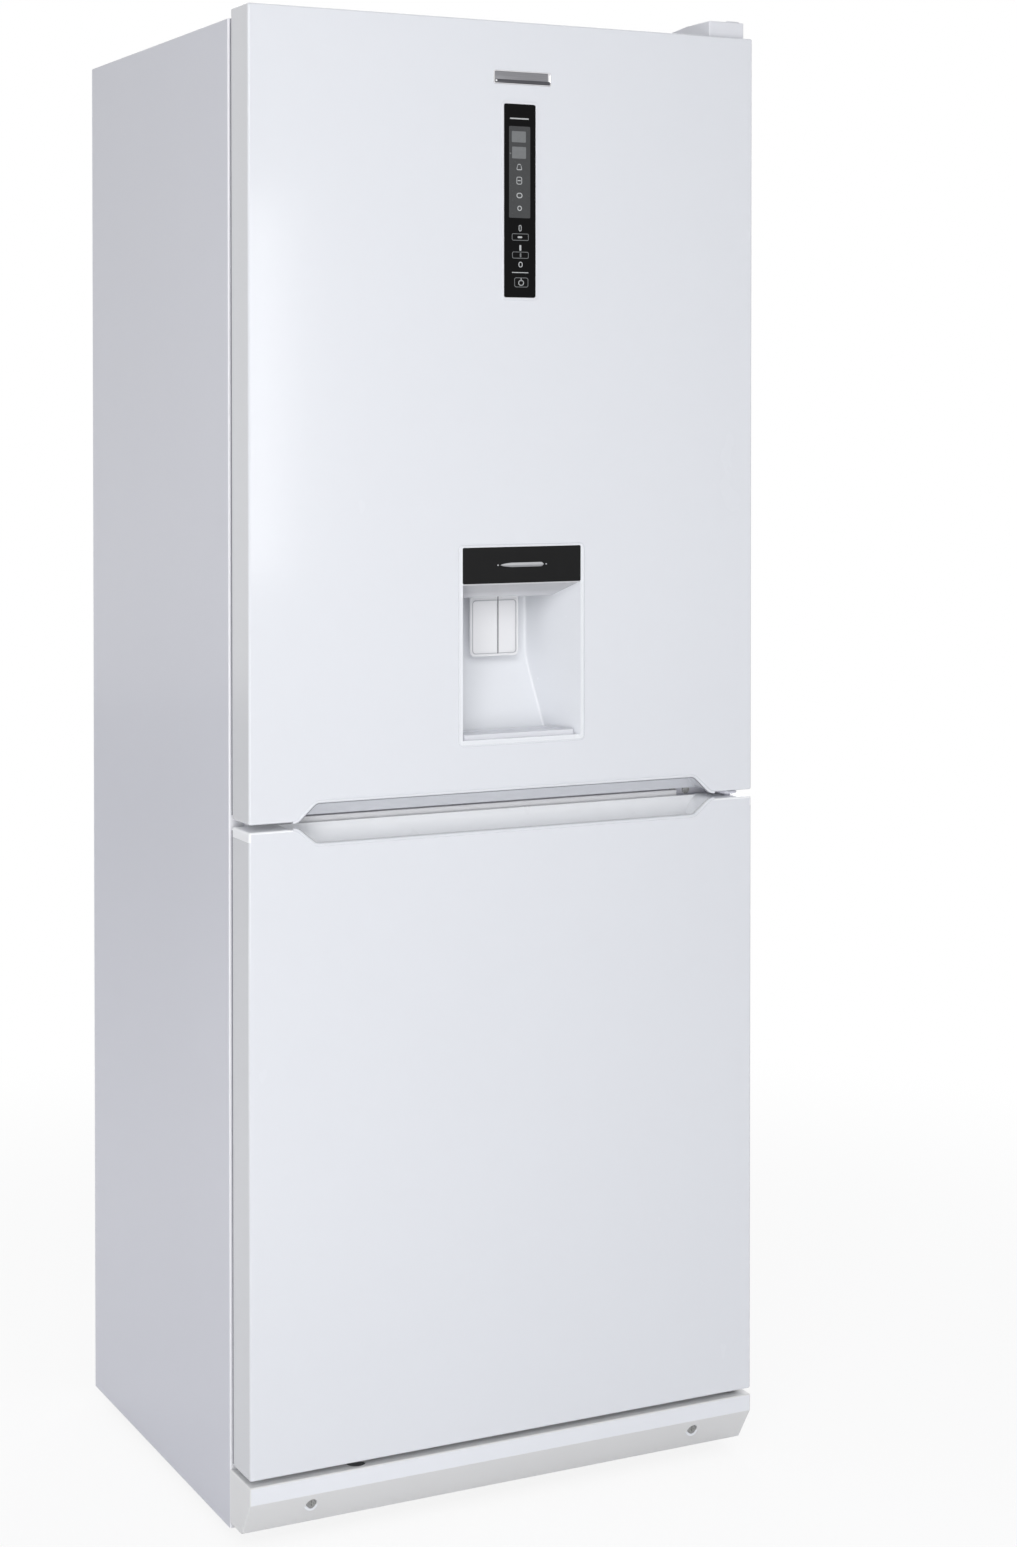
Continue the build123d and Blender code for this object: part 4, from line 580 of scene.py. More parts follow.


# Enamel
# Door enamel: its darker second tone on faces that look across is painted shade on the doors' sides, and the
# caps share it.
DOOR_PAINT = LitAndShadedSheet(
    "door_enamel", display(229, 231, 236), 0.26, coat=0.50, gloss=0.15, second=display(220, 221, 224)
)
# Case enamel: its greyer base tone is painted shade on the case's sides, and its pale second tone on faces that
# look to the front is a painted highlight on the front flange.
CASE_PAINT = LitAndShadedSheet(
    "case_enamel",
    display(212, 213, 221),
    0.34,
    coat=0.12,
    second=display(246, 246, 250),
    axis=Axis.DEEP,
    turn=(0.1, 0.6),
)
# Paler copy of the rail enamel: painted light on the strip that shows in the shade between the doors.
LIT_STRIP_PAINT = PaintedSheet("strip_enamel", display(252, 252, 254), 0.34, coat=0.10)
RAIL_PAINT = PaintedSheet("rail_enamel", display(240, 240, 249), 0.34, coat=0.10)
BACK_PAINT = PaintedSheet("back_enamel", display(206, 208, 210), 0.42, relief=0.12, coat=0.0)
BLACK_ENAMEL = PaintedSheet("black_enamel", display(34, 34, 37), 0.36, relief=0.16, coat=0.10)

# Smooth mouldings, finished like the enamel that they meet, with painted light and shade on their turned faces
CAP_PLASTIC = replace(DOOR_PAINT, name="cap_moulding")
# Plinth moulding: its paler second tone on the upright faces that look to the front is painted light; the slope
# and the ledge keep the greyer base tone.
PLINTH_PLASTIC = LitAndShadedSheet(
    "plinth_moulding",
    display(231, 231, 231),
    0.36,
    relief=0.10,
    coat=0.0,
    second=display(237, 239, 244),
    axis=Axis.DEEP,
    turn=(0.97, 0.995),
)
# Scoop moulding: its base tone, far paler than the door enamel, is painted light on the lower grip's scoop;
# faces that look to the front or back take the door's tone.
LIT_SCOOP_PLASTIC = LitAndShadedSheet(
    "scoop_moulding",
    display(250, 251, 253),
    0.28,
    coat=0.45,
    gloss=0.2,
    second=display(228, 230, 235),
    axis=Axis.DEEP,
    turn=(0.985, 0.998),
)

# Grained and clear mouldings
WHITE_PLASTIC = MouldedPlastic("white_moulding", display(230, 231, 236), 0.36)
# Paler copy of the white moulding: painted light on the walls of the dispenser's recess.
LIT_BOWL_PLASTIC = MouldedPlastic("bowl_moulding", display(238, 240, 244), 0.26, relief=0.03)
SOFFIT_PLASTIC = MouldedPlastic("soffit_moulding", display(214, 214, 217), 0.24, relief=0.03)
PADDLE_PLASTIC = MouldedPlastic("paddle_moulding", display(238, 238, 240), 0.34, relief=0.04)
# Grey finish of the beads that draw the shade lines along the lower grip's lip and inside the paddle's border:
# painted shade.
GREY_SHADE_LINE = MouldedPlastic("grey_shade_bead", display(190, 191, 195), 0.45)
# Dark bead finish that draws the shade line under the upper grip's lip: painted shade.
DARK_SHADE_LINE = MouldedPlastic("dark_shade_bead", display(142, 143, 149), 0.50)
# Dark finish of the strip down the paddle: painted shade of its groove.
GROOVE_SHADE_LINE = MouldedPlastic("groove_shade_strip", display(112, 112, 116), 0.50)
LINER_PLASTIC = MouldedPlastic("liner_sheet", display(234, 235, 236), 0.32, relief=0.05)
DARK_PLASTIC = MouldedPlastic("dark_moulding", display(52, 52, 55), 0.55, relief=0.2)
CLEAR_PLASTIC = ClearPlastic("clear_drawer", display(238, 244, 247), 0.17, clear=0.52)
SHELF_GLASS = ClearPlastic("shelf_glass", display(214, 236, 230), 0.07, clear=0.92)

# Rubber
SEAL_RUBBER = Rubber("seal_rubber", display(174, 175, 180), 0.62)
TREAD_RUBBER = Rubber("roller_tread", display(60, 60, 62), 0.70)
# Dust lip rubber: its dark second tone on faces that look across is painted shade in the gap beside the doors.
DUST_RUBBER = LitAndShadedSheet(
    "dust_lip_rubber",
    display(196, 197, 200),
    0.66,
    relief=0.2,
    coat=0.0,
    gloss=0.3,
    second=display(128, 128, 138),
)

# Glass, print and metal
PANEL_GLASS = BlackGlass("panel_glass", display(9, 9, 10), 0.21, gloss=0.09)
FASCIA_GLASS = BlackGlass("fascia_glass", display(20, 20, 21), 0.31)
INK_LIGHT = PanelInk("panel_print", display(196, 198, 199), 0.39)
INK_FAINT = PanelInk("panel_faint_print", display(122, 124, 125), 0.42)
WINDOW_GREY = PanelInk("display_window", display(72, 73, 74), 0.26)
DIGIT_GREY = PanelInk("display_digits", display(126, 128, 129), 0.32)
BRIGHT_TRIM = BrushedMetal("bright_trim", display(196, 197, 200), 0.30)
BADGE_FIELD = BrushedMetal("badge_field", display(146, 146, 150), 0.36)
BADGE_BAR = BrushedMetal("badge_bar", display(92, 92, 96), 0.30)
BADGE_END = BrushedMetal("badge_end", display(238, 238, 240), 0.16)
SCREW_STEEL = BrushedMetal("screw_steel", display(190, 190, 188), 0.28, lines=(1.0, 0.05, 1.0))
PLINTH_SCREW = BrushedMetal("plinth_screw", display(184, 184, 182), 0.28, lines=(1.0, 0.05, 1.0))
FIN_METAL = BrushedMetal("fin_metal", display(196, 198, 202), 0.36, lines=(1.0, 1.0, 0.03))
ZINC_STEEL = ZincSheet("zinc_sheet", display(186, 188, 192), 0.38)

# Insulation and lamp
INSULATION = Foam("insulation", display(224, 208, 150), 0.905)
LAMP_LENS = RibbedLens("lamp_lens", display(246, 246, 238), 0.245)


def front_view(node: str) -> Tuple[Point2, Point2]:
    """Middle and size of a node as X and Z, seen from the front."""
    low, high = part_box(node)
    return ((low.x + high.x) / 2, (low.z + high.z) / 2), (high.x - low.x, high.z - low.z)


def rounded_loop(centre: Point2, size: Point2, radius: float, y: float, steps: int = 5) -> Loop:
    """Closed outline of a rounded rectangle that faces the front.

    Args:
        centre: Middle of the rectangle as X and Z.
        size: Its width and height.
        radius: Radius of its corners.
        y: Depth that it lies at.
        steps: Pieces of each corner's arc.

    Returns:
        The outline's points.
    """
    half_x, half_z = size[0] / 2 - radius, size[1] / 2 - radius
    loop: Loop = []
    for quarter, (side, end) in enumerate(((1, 1), (-1, 1), (-1, -1), (1, -1))):
        for step in range(steps + 1):
            turn = math.pi / 2 * (quarter + step / steps)
            x = centre[0] + side * half_x + radius * math.cos(turn)
            z = centre[1] + end * half_z + radius * math.sin(turn)
            loop.append(Vector((x, y, z)))
    return loop


def grown_loops(
    centre: Point2, size: Point2, radius: float, rows: Sequence[Point2], follow: float = 1.0
) -> List[Loop]:
    """Outlines of one rounded rectangle that grows or shrinks from row to row.

    Args:
        centre: Middle of the rectangle as X and Z.
        size: Its width and height.
        radius: Radius of its corners.
        rows: How far each outline grows on every side, and the depth that it lies at.
        follow: Share of the growth that the corners' radius takes.

    Returns:
        One outline for each row.
    """
    return [
        rounded_loop(centre, (size[0] + 2 * grow, size[1] + 2 * grow), radius + follow * grow, y)
        for grow, y in rows
    ]


def square_loop(low: Vector, high: Vector, margins: Point3, y: float) -> Loop:
    """Closed rectangle round a box that is seen from the front.

    Args:
        low: The box's lowest corner.
        high: The box's highest corner.
        margins: How far the rectangle stands out at the sides, the foot and the head.
        y: Depth that it lies at.

    Returns:
        Its four corners.
    """
    side, foot, head = margins
    left, right, bottom, top = low.x - side, high.x + side, low.z - foot, high.z + head
    return [Vector((x, y, z)) for x, z in ((left, bottom), (right, bottom), (right, top), (left, top))]


def ring_loop(centre: Vector, radius: float, steps: int = 48) -> Loop:
    """Closed circle that lies flat."""
    turns = [2 * math.pi * step / steps for step in range(steps)]
    return [centre + Vector((radius * math.cos(t), radius * math.sin(t), 0.0)) for t in turns]


def rounded_path(points: Sequence[Point2], radius: float, y: float, steps: int = 7) -> Loop:
    """Open run through (x, z) points with its inner corners rounded.

    Args:
        points: Corners of the run.
        radius: Radius of the roundings.
        y: Depth that the run lies at.
        steps: Pieces of each arc.

    Returns:
        The points along the run.
    """
    knots = [Vector((x, y, z)) for x, z in points]
    path: Loop = [knots[0]]
    for before, knot, after in zip(knots, knots[1:], knots[2:]):
        back = (before - knot).normalized()
        onward = (after - knot).normalized()
        half = back.angle(onward) / 2
        centre = knot + (back + onward).normalized() * (radius / math.sin(half))
        first = knot + back * (radius / math.tan(half)) - centre
        last = knot + onward * (radius / math.tan(half)) - centre
        turns = [first.slerp(last, step / steps).normalized() for step in range(steps + 1)]
        path += [centre + radius * turn for turn in turns]
    path.append(knots[-1])
    return path


def bead_loops(path: Sequence[Vector], radius: float, steps: int = 12) -> List[Loop]:
    """Circles along a run that faces the front.

    Args:
        path: Points of the run.
        radius: Radius of the bead.
        steps: Points of each circle.

    Returns:
        One circle for each point.
    """
    depth = Vector((0.0, 1.0, 0.0))
    turns = [2 * math.pi * step / steps for step in range(steps)]
    loops: List[Loop] = []
    for index, point in enumerate(path):
        ahead = path[min(index + 1, len(path) - 1)]
        along = (ahead - path[max(index - 1, 0)]).normalized()
        side = along.cross(depth)
        loops.append([point + radius * (math.cos(t) * side + math.sin(t) * depth) for t in turns])
    return loops


def bar_loops(profile: Sequence[Point2], x0: float, x1: float) -> List[Loop]:
    """Outline of (y, z) points at the left and right end of a bar along X."""
    return [[Vector((x, y, z)) for y, z in profile] for x in (x0, x1)]


def loft(name: str, loops: Sequence[Loop], ring: bool = False) -> bpy.types.Mesh:
    """Skin a row of outlines that have as many points each.

    Args:
        name: Name of the mesh.
        loops: The outlines in order.
        ring: Whether the last outline joins the first, or else both are filled.

    Returns:
        The mesh, with its creases kept sharp.
    """
    work = bmesh.new()
    rows = [[work.verts.new(point) for point in loop] for loop in loops]
    pairs = list(zip(rows, rows[1:]))
    if ring:
        pairs.append((rows[-1], rows[0]))
    for lower, upper in pairs:
        count = len(lower)
        for step in range(count):
            after = (step + 1) % count
            work.faces.new((lower[step], lower[after], upper[after], upper[step]))
    if not ring:
        work.faces.new(rows[0])
        work.faces.new(rows[-1])
    bmesh.ops.recalc_face_normals(work, faces=work.faces)
    mesh = bpy.data.meshes.new(name)
    work.to_mesh(mesh)
    work.free()
    mesh.shade_smooth()
    mesh.set_sharp_from_angle(angle=CREASE_ANGLE)
    return mesh


@dataclass
class Assembly:
    """A sub-assembly: CAD nodes that get a finish, and trim that rides with them."""

    finishes: Dict[str, Finish] = field(default_factory=dict)
    soft_edges: Dict[str, float] = field(default_factory=dict)

    def build(self) -> None:
        """Dress the nodes, then make the trim."""
        for node, finish in self.finishes.items():
            self.dress(node, finish)
        for node, width in self.soft_edges.items():
            self.soften(node, width)
        self.trim()

    def trim(self) -> None:
        """Make the pieces that the nodes lack."""

    def dress(self, node: str, finish: Finish) -> None:
        """Give a CAD node its finish.

        Args:
            node: The node's name.
            finish: Its finish.
        """
        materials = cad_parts[node].data.materials
        for index in range(len(materials)):
            materials[index] = finish.material()
        LOG.info("%s: %s wears %s", type(self).__name__, node, finish.name)

    def soften(self, node: str, width: float) -> None:
        """Round a CAD node's sharp edges.

        Args:
            node: The node's name.
            width: Width of the rounding.
        """
        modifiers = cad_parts[node].modifiers
        weld = modifiers.new("weld", "WELD")
        weld.merge_threshold = WELD_REACH
        bevel = modifiers.new("soft_edges", "BEVEL")
        bevel.width = width
        bevel.segments = BEVEL_STEPS
        bevel.limit_method = "ANGLE"
        bevel.angle_limit = BEVEL_ANGLE
        bevel.use_clamp_overlap = True
        normals = modifiers.new("even_normals", "WEIGHTED_NORMAL")
        normals.keep_sharp = True

    def add(
        self, name: str, loops: Sequence[Loop], body: Body, finish: Finish, slot: Slot, ring: bool = False
    ) -> bpy.types.Object:
        """Skin a piece of trim and put it on a body.

        Args:
            name: The piece's name.
            loops: The outlines that it is skinned over, in place.
            body: The body that it rides on.
            finish: Its finish.
            slot: The record's slot for that finish; not used.
            ring: Whether its last outline joins the first.

        Returns:
            The piece.
        """
        piece = bpy.data.objects.new(name, loft(name, loops, ring))
        bpy.context.scene.collection.objects.link(piece)
        piece.data.materials.append(finish.material())
        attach(piece, body.value)
        LOG.info("%s: added %s on %s", type(self).__name__, name, body.value)
        return piece


@dataclass
class Case(Assembly):
    """Case shell, rail, base and what it stands on."""

    finishes: Dict[str, Finish] = field(
        default_factory=lambda: {
            # The case enamel and the plinth moulding carry painted light and shade on their turned faces.
            "outer_wrap": CASE_PAINT,
            "back_panel": BACK_PAINT,
            "base_pan": ZINC_STEEL,
            "mullion_rail": RAIL_PAINT,
            "cabinet_foam": INSULATION,
            "foot_left": DARK_PLASTIC,
            "foot_right": DARK_PLASTIC,
            "roller_left": TREAD_RUBBER,
            "roller_right": TREAD_RUBBER,
            "plinth": PLINTH_PLASTIC,
            "plinth_screws": PLINTH_SCREW,
        }
    )
    strip_ends: Point2 = (-0.330, 0.270)
    strip_front: float = 0.0106
    strip_half: float = 0.0042
    strip_drop: float = 0.0025
    strip_soft: float = 0.0012
    strip_bow: float = 0.3

    def trim(self) -> None:
        """Strip on the rail that shows between the doors, in a paler enamel that is painted light in the shade
        there.
        """
        rail_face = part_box("outer_wrap")[0].y
        front = rail_face - self.strip_front
        doors = (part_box("fridge_door_bottom_cap")[0].z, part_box("freezer_door_top_cap")[1].z)
        middle = sum(doors) / 2 - self.strip_drop
        low = middle - self.strip_half
        soft, bow = self.strip_soft, self.strip_bow * self.strip_soft
        lower = ((rail_face, low), (front + soft, low), (front + bow, low + bow), (front, low + soft))
        upper = [(y, 2 * middle - z) for y, z in reversed(lower)]
        loops = bar_loops((*lower, *upper), *self.strip_ends)
        self.add("rail_strip", loops, Body.CABINET, LIT_STRIP_PAINT, Slot.CASE_PAINT)


@dataclass
class Hinges(Assembly):
    """Hinge plates, their screws and the cover on top."""

    finishes: Dict[str, Finish] = field(
        default_factory=lambda: {
            "top_hinge": ZINC_STEEL,
            "top_hinge_cover": WHITE_PLASTIC,
            "middle_hinge": RAIL_PAINT,
            "bottom_hinge": ZINC_STEEL,
            "hinge_screws": SCREW_STEEL,
        }
    )


@dataclass
class MachineSpace(Assembly):
    """Compressor, its plate, the condenser and the mains gland."""

    finishes: Dict[str, Finish] = field(
        default_factory=lambda: {
            "machine_plate": ZINC_STEEL,
            "compressor": BLACK_ENAMEL,
            "condenser": BLACK_ENAMEL,
            "mains_inlet": DARK_PLASTIC,
        }
    )
    shell_radius: float = 0.072
    shell_x: float = 0.140
    seam_share: float = 0.52
    seam_out: float = 0.0022
    seam_half: float = 0.0035
    seam_sunk: float = 0.001
    seam_foot: float = 1.6
    seam_shoulder: float = 0.6

    def trim(self) -> None:
        """Weld seam round the compressor's shell."""
        low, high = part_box("compressor")
        middle = low.z + self.seam_share * (high.z - low.z)
        depth = (low.y + high.y) / 2
        shoulder, foot = self.seam_shoulder * self.seam_out, self.seam_foot * self.seam_half
        lower = ((-self.seam_sunk, -foot), (shoulder, -self.seam_half))
        upper = [(out, -rise) for out, rise in reversed(lower)]
        loops = [
            ring_loop(Vector((self.shell_x, depth, middle + rise)), self.shell_radius + out)
            for out, rise in (*lower, (self.seam_out, 0.0), *upper)
        ]
        self.add("compressor_seam", loops, Body.CABINET, BLACK_ENAMEL, Slot.BLACK_SHELL, ring=True)


@dataclass
class DoorSeal:
    """Profile of a door seal: a bellows between two lips, and a thin dust lip round it."""

    width: float = 0.016
    wave: float = 0.0022
    fold: float = 0.3
    soft: float = 0.001
    clear: float = 0.0003
    dust_side: float = 0.0252
    dust_foot: float = 0.0010
    dust_head: float = 0.0100
    dust_in: float = 0.0020
    dust_depth: Point2 = (0.0016, 0.0056)

    def loops(self, node: str) -> List[Loop]:
        """Rectangles that the seal is skinned over.

        Args:
            node: The CAD seal whose place it takes.

        Returns:
            One closed rectangle for each point of the profile.
        """
        low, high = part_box(node)
        depth = high.y - low.y - self.clear
        outer = (
            (0.0, 0.0),
            (0.0, 0.16),
            (self.wave, 0.30),
            (self.fold * self.wave, 0.46),
            (self.wave, 0.62),
            (0.0, 0.74),
            (0.0, 0.94),
            (self.soft, 1.0),
        )
        inner = [(self.width - inset, share) for inset, share in reversed(outer)]
        return [
            square_loop(low, high, (-inset, -inset, -inset), low.y + share * depth)
            for inset, share in (*outer, *inner)
        ]

    def dust_loops(self, node: str) -> List[Loop]:
        """Rectangles that the dust lip is skinned over.

        Args:
            node: The CAD seal that the lip runs round.

        Returns:
            The outer rectangle front and back, then the inner one back and front.
        """
        low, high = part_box(node)
        near, far = (low.y + depth for depth in self.dust_depth)
        outer = (self.dust_side, self.dust_foot, self.dust_head)
        inner = (-self.dust_in, -self.dust_in, -self.dust_in)
        rows = ((outer, near), (outer, far), (inner, far), (inner, near))
        return [square_loop(low, high, margins, y) for margins, y in rows]


@dataclass
class GripLip:
    """Rolled lip round a pocket grip's opening, and the fine welt inside it that carries a painted shade line.
    """

    wide_half: float = 0.2886
    narrow_half: float = 0.2636
    flare: float = 0.028
    corner: float = 0.0136
    radius: float = 0.0020
    sunk: float = 0.0008
    welt_in: float = 0.0022
    welt_radius: float = 0.0009
    welt_sunk: float = 0.0014

    def loops(self, edge: float, tip: float, face: float) -> List[Loop]:
        """Circles that the lip is skinned over.

        Args:
            edge: Height of the door's edge at the grip.
            tip: Height of the opening's far side.
            face: Depth of the door's front.

        Returns:
            One circle for each point along the lip.
        """
        left = ((-self.wide_half - self.flare, edge), (-self.wide_half, edge), (-self.narrow_half, tip))
        right = [(-x, z) for x, z in reversed(left)]
        path = rounded_path((*left, *right), self.corner, face + self.sunk)
        return bead_loops(path[1:-1], self.radius)

    def welt_loops(self, edge: float, tip: float, face: float) -> List[Loop]:
        """Circles that the welt is skinned over.

        Args:
            edge: Height of the door's edge at the grip.
            tip: Height of the opening's far side.
            face: Depth of the door's front.

        Returns:
            One circle for each point along the welt.
        """
        rise, run = abs(tip - edge), self.wide_half - self.narrow_half
        inset = self.welt_in * math.hypot(rise, run) / rise
        foot = self.wide_half - inset
        head = self.narrow_half + self.welt_in * run / rise - inset
        top = tip - math.copysign(self.welt_in, tip - edge)
        points = ((-foot, edge), (-head, top), (head, top), (foot, edge))
        path = rounded_path(points, self.corner - self.welt_in, face + self.welt_sunk)
        return bead_loops(path, self.welt_radius)


@dataclass
class Door(Assembly):
    """What both doors have alike: a seal with its dust lip, and a pocket grip's trim."""

    body: Body = Body.FRIDGE_DOOR
    # The welt's finish paints the shade line inside the grip's lip.
    welt: Finish = DARK_SHADE_LINE
    seal: DoorSeal = field(default_factory=DoorSeal)
    lip: GripLip = field(default_factory=GripLip)

    def seal_and_grip(self, word: str, edge: float, tip: float) -> None:
        """Bellows seal in place of the plain one, its dust lip, and the grip's lip and welt, whose finish
        paints the shade line inside the lip.

        Args:
            word: The door's word in the names of its nodes and pieces.
            edge: Height of the door's edge at the grip.
            tip: Height of the grip's far side.
        """
        gasket = f"{word}_door_gasket"
        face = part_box(f"{word}_door_skin")[0].y
        rubber, plastic = Slot.SEAL_RUBBER, Slot.WHITE_PLASTIC
        loops = self.seal.loops(gasket)
        seal = self.add(f"{word}_door_seal", loops, self.body, SEAL_RUBBER, rubber, ring=True)
        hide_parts(gasket)
        loops = self.seal.dust_loops(gasket)
        self.add(f"{word}_dust_lip", loops, self.body, DUST_RUBBER, rubber, ring=True)
        loops = self.lip.loops(edge, tip, face)
        self.add(f"{word}_grip_lip", loops, self.body, CAP_PLASTIC, plastic)
        loops = self.lip.welt_loops(edge, tip, face)
        self.add(f"{word}_grip_shade_welt", loops, self.body, self.welt, plastic)


@dataclass
class FridgeDoor(Door):
    """Upper door with its seal, grip, bins and badge."""

    finishes: Dict[str, Finish] = field(
        default_factory=lambda: {
            "fridge_door_skin": DOOR_PAINT,
            "fridge_door_top_cap": CAP_PLASTIC,
            "fridge_door_bottom_cap": CAP_PLASTIC,
            "fridge_door_liner": LINER_PLASTIC,
            "fridge_door_foam": INSULATION,
            "fridge_door_gasket": SEAL_RUBBER,
            "door_bin_1": CLEAR_PLASTIC,
            "door_bin_2": CLEAR_PLASTIC,
            "door_bin_3": CLEAR_PLASTIC,
            "badge_plate": BADGE_END,
        }
    )
    grip_rise: float = 0.0232
    bins: Tuple[str, ...] = ("door_bin_1", "door_bin_2", "door_bin_3")
    rail_height: float = 0.016
    rail_out: float = 0.0015
    rail_wall: float = 0.0055
    rail_in: float = 0.001
    badge_corner: float = 0.0024
    badge_soft: float = 0.0005
    badge_rim: float = 0.0012
    badge_sink: float = 0.0006
    badge_bar: float = 0.0046
    badge_end: float = 0.0030
    badge_pin: float = 0.0028
    pin_spot: Point2 = (0.4, 0.5)
    pin_round: float = 0.48
    field_corner: float = 0.0006
    bar_corner: float = 0.0016
    bar_lift: float = 0.0002
    pin_lift: float = 0.0003
    plate_sunk: float = 0.0002
    plate_side: float = 0.00008
    plate_top: float = 0.00015
    plate_soft: float = 0.0002

    def trim(self) -> None:
        """Seal, grip, bin rails and the plain badge."""
        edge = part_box("fridge_door_bottom_cap")[0].z
        self.seal_and_grip("fridge", edge, edge + self.grip_rise)
        for number, node in enumerate(self.bins, start=1):
            self.bin_rail(f"bin_rail_{number}", node)
        self.badge()

    def bin_rail(self, name: str, node: str) -> None:
        """Rounded rail along the top of a bin's outer wall.

        Args:
            name: The rail's name.
            node: The bin's CAD node.
        """
        low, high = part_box(node)
        outer = high.y + self.rail_out
        inner = outer - self.rail_wall
        top = high.z + self.rail_out
        bottom = top - self.rail_height
        soft = self.rail_out
        profile = (
            (inner, bottom),
            (outer - soft, bottom),
            (outer, bottom + soft),
            (outer, top - soft),
            (outer - soft, top),
            (inner + soft, top),
            (inner, top - soft),
        )
        loops = bar_loops(profile, low.x + self.rail_in, high.x - self.rail_in)
        self.add(name, loops, self.body, WHITE_PLASTIC, Slot.WHITE_PLASTIC)

    def badge(self) -> None:
        """Plain plate: a bright rim, a brushed field, a dark bar along its foot and a bright pin."""
        low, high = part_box("badge_plate")
        middle, size = front_view("badge_plate")
        rim, soft = self.badge_rim, self.badge_soft
        face = low.y + self.badge_sink
        rows = ((0.0, high.y), (0.0, low.y + soft), (-soft, low.y), (-rim, low.y), (-rim, face))
        loops = grown_loops(middle, size, self.badge_corner, rows, follow=0.5)
        piece = self.add("badge_rim", loops, self.body, BADGE_END, Slot.BRIGHT_TRIM)
        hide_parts("badge_plate")
        left, right, bottom, top = low.x + rim, high.x - rim, low.z + rim, high.z - rim
        ledge = bottom + self.badge_bar
        far = (right - self.badge_end, top)
        self.plate("badge_field", (left, ledge), far, self.field_corner, face, BADGE_FIELD)
        far, ground = (right, ledge), face - self.bar_lift
        self.plate("badge_bar", (left, bottom), far, self.bar_corner, ground, BADGE_BAR)
        pin = self.badge_pin
        spot = (left + self.pin_spot[0] * pin, bottom + self.pin_spot[1] * pin)
        far, ground = (spot[0] + pin, spot[1] + pin), face - self.pin_lift
        self.plate("badge_pin", spot, far, self.pin_round * pin, ground, BADGE_END)

    def plate(self, name: str, low: Point2, high: Point2, radius: float, y: float, finish: Finish) -> None:
        """Thin metal plate let into the badge.

        Args:
            name: The plate's name.
            low: Its lower left corner as X and Z.
            high: Its upper right corner as X and Z.
            radius: Radius of its corners.
            y: Depth of the ground that it lies on.
            finish: Its finish.
        """
        centre = ((low[0] + high[0]) / 2, (low[1] + high[1]) / 2)
        size = (high[0] - low[0], high[1] - low[1])
        top = y - self.plate_top
        rows = ((0.0, y + self.plate_sunk), (0.0, y - self.plate_side), (-self.plate_soft, top))
        self.add(name, grown_loops(centre, size, radius, rows), self.body, finish, Slot.BRIGHT_TRIM)


@dataclass
class FreezerDoor(Door):
    """Lower door with its seal and grip."""

    finishes: Dict[str, Finish] = field(
        default_factory=lambda: {
            "freezer_door_skin": DOOR_PAINT,
            # The freezer door's top cap holds the grip scoop, whose pale tone is painted light.
            "freezer_door_top_cap": LIT_SCOOP_PLASTIC,
            "freezer_door_bottom_cap": CAP_PLASTIC,
            "freezer_door_liner": LINER_PLASTIC,
            "freezer_door_foam": INSULATION,
            "freezer_door_gasket": SEAL_RUBBER,
        }
    )
    body: Body = Body.FREEZER_DOOR
    # A grey welt paints the fainter shade line along the lower grip's lip.
    welt: Finish = GREY_SHADE_LINE
    seal: DoorSeal = field(default_factory=lambda: DoorSeal(dust_foot=0.006, dust_head=0.001))
    grip_fall: float = 0.0205

    def trim(self) -> None:
        """Seal and grip."""
        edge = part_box("freezer_door_top_cap")[1].z
        self.seal_and_grip("freezer", edge, edge - self.grip_fall)


class Shape(Enum):
    """Ways that a mark is printed on the control panel."""

    FILLED = "filled"
    OUTLINE = "outline"


@dataclass(frozen=True)
class Mark:
    """One printed mark, placed from the panel's middle and its top edge."""

    name: str
    shape: Shape
    x: float
    drop: float
    width: float
    height: float
    radius: float
    finish: Finish
    line: float = 0.0009
    lift: float = 0.00016
    taper: float = 0.0


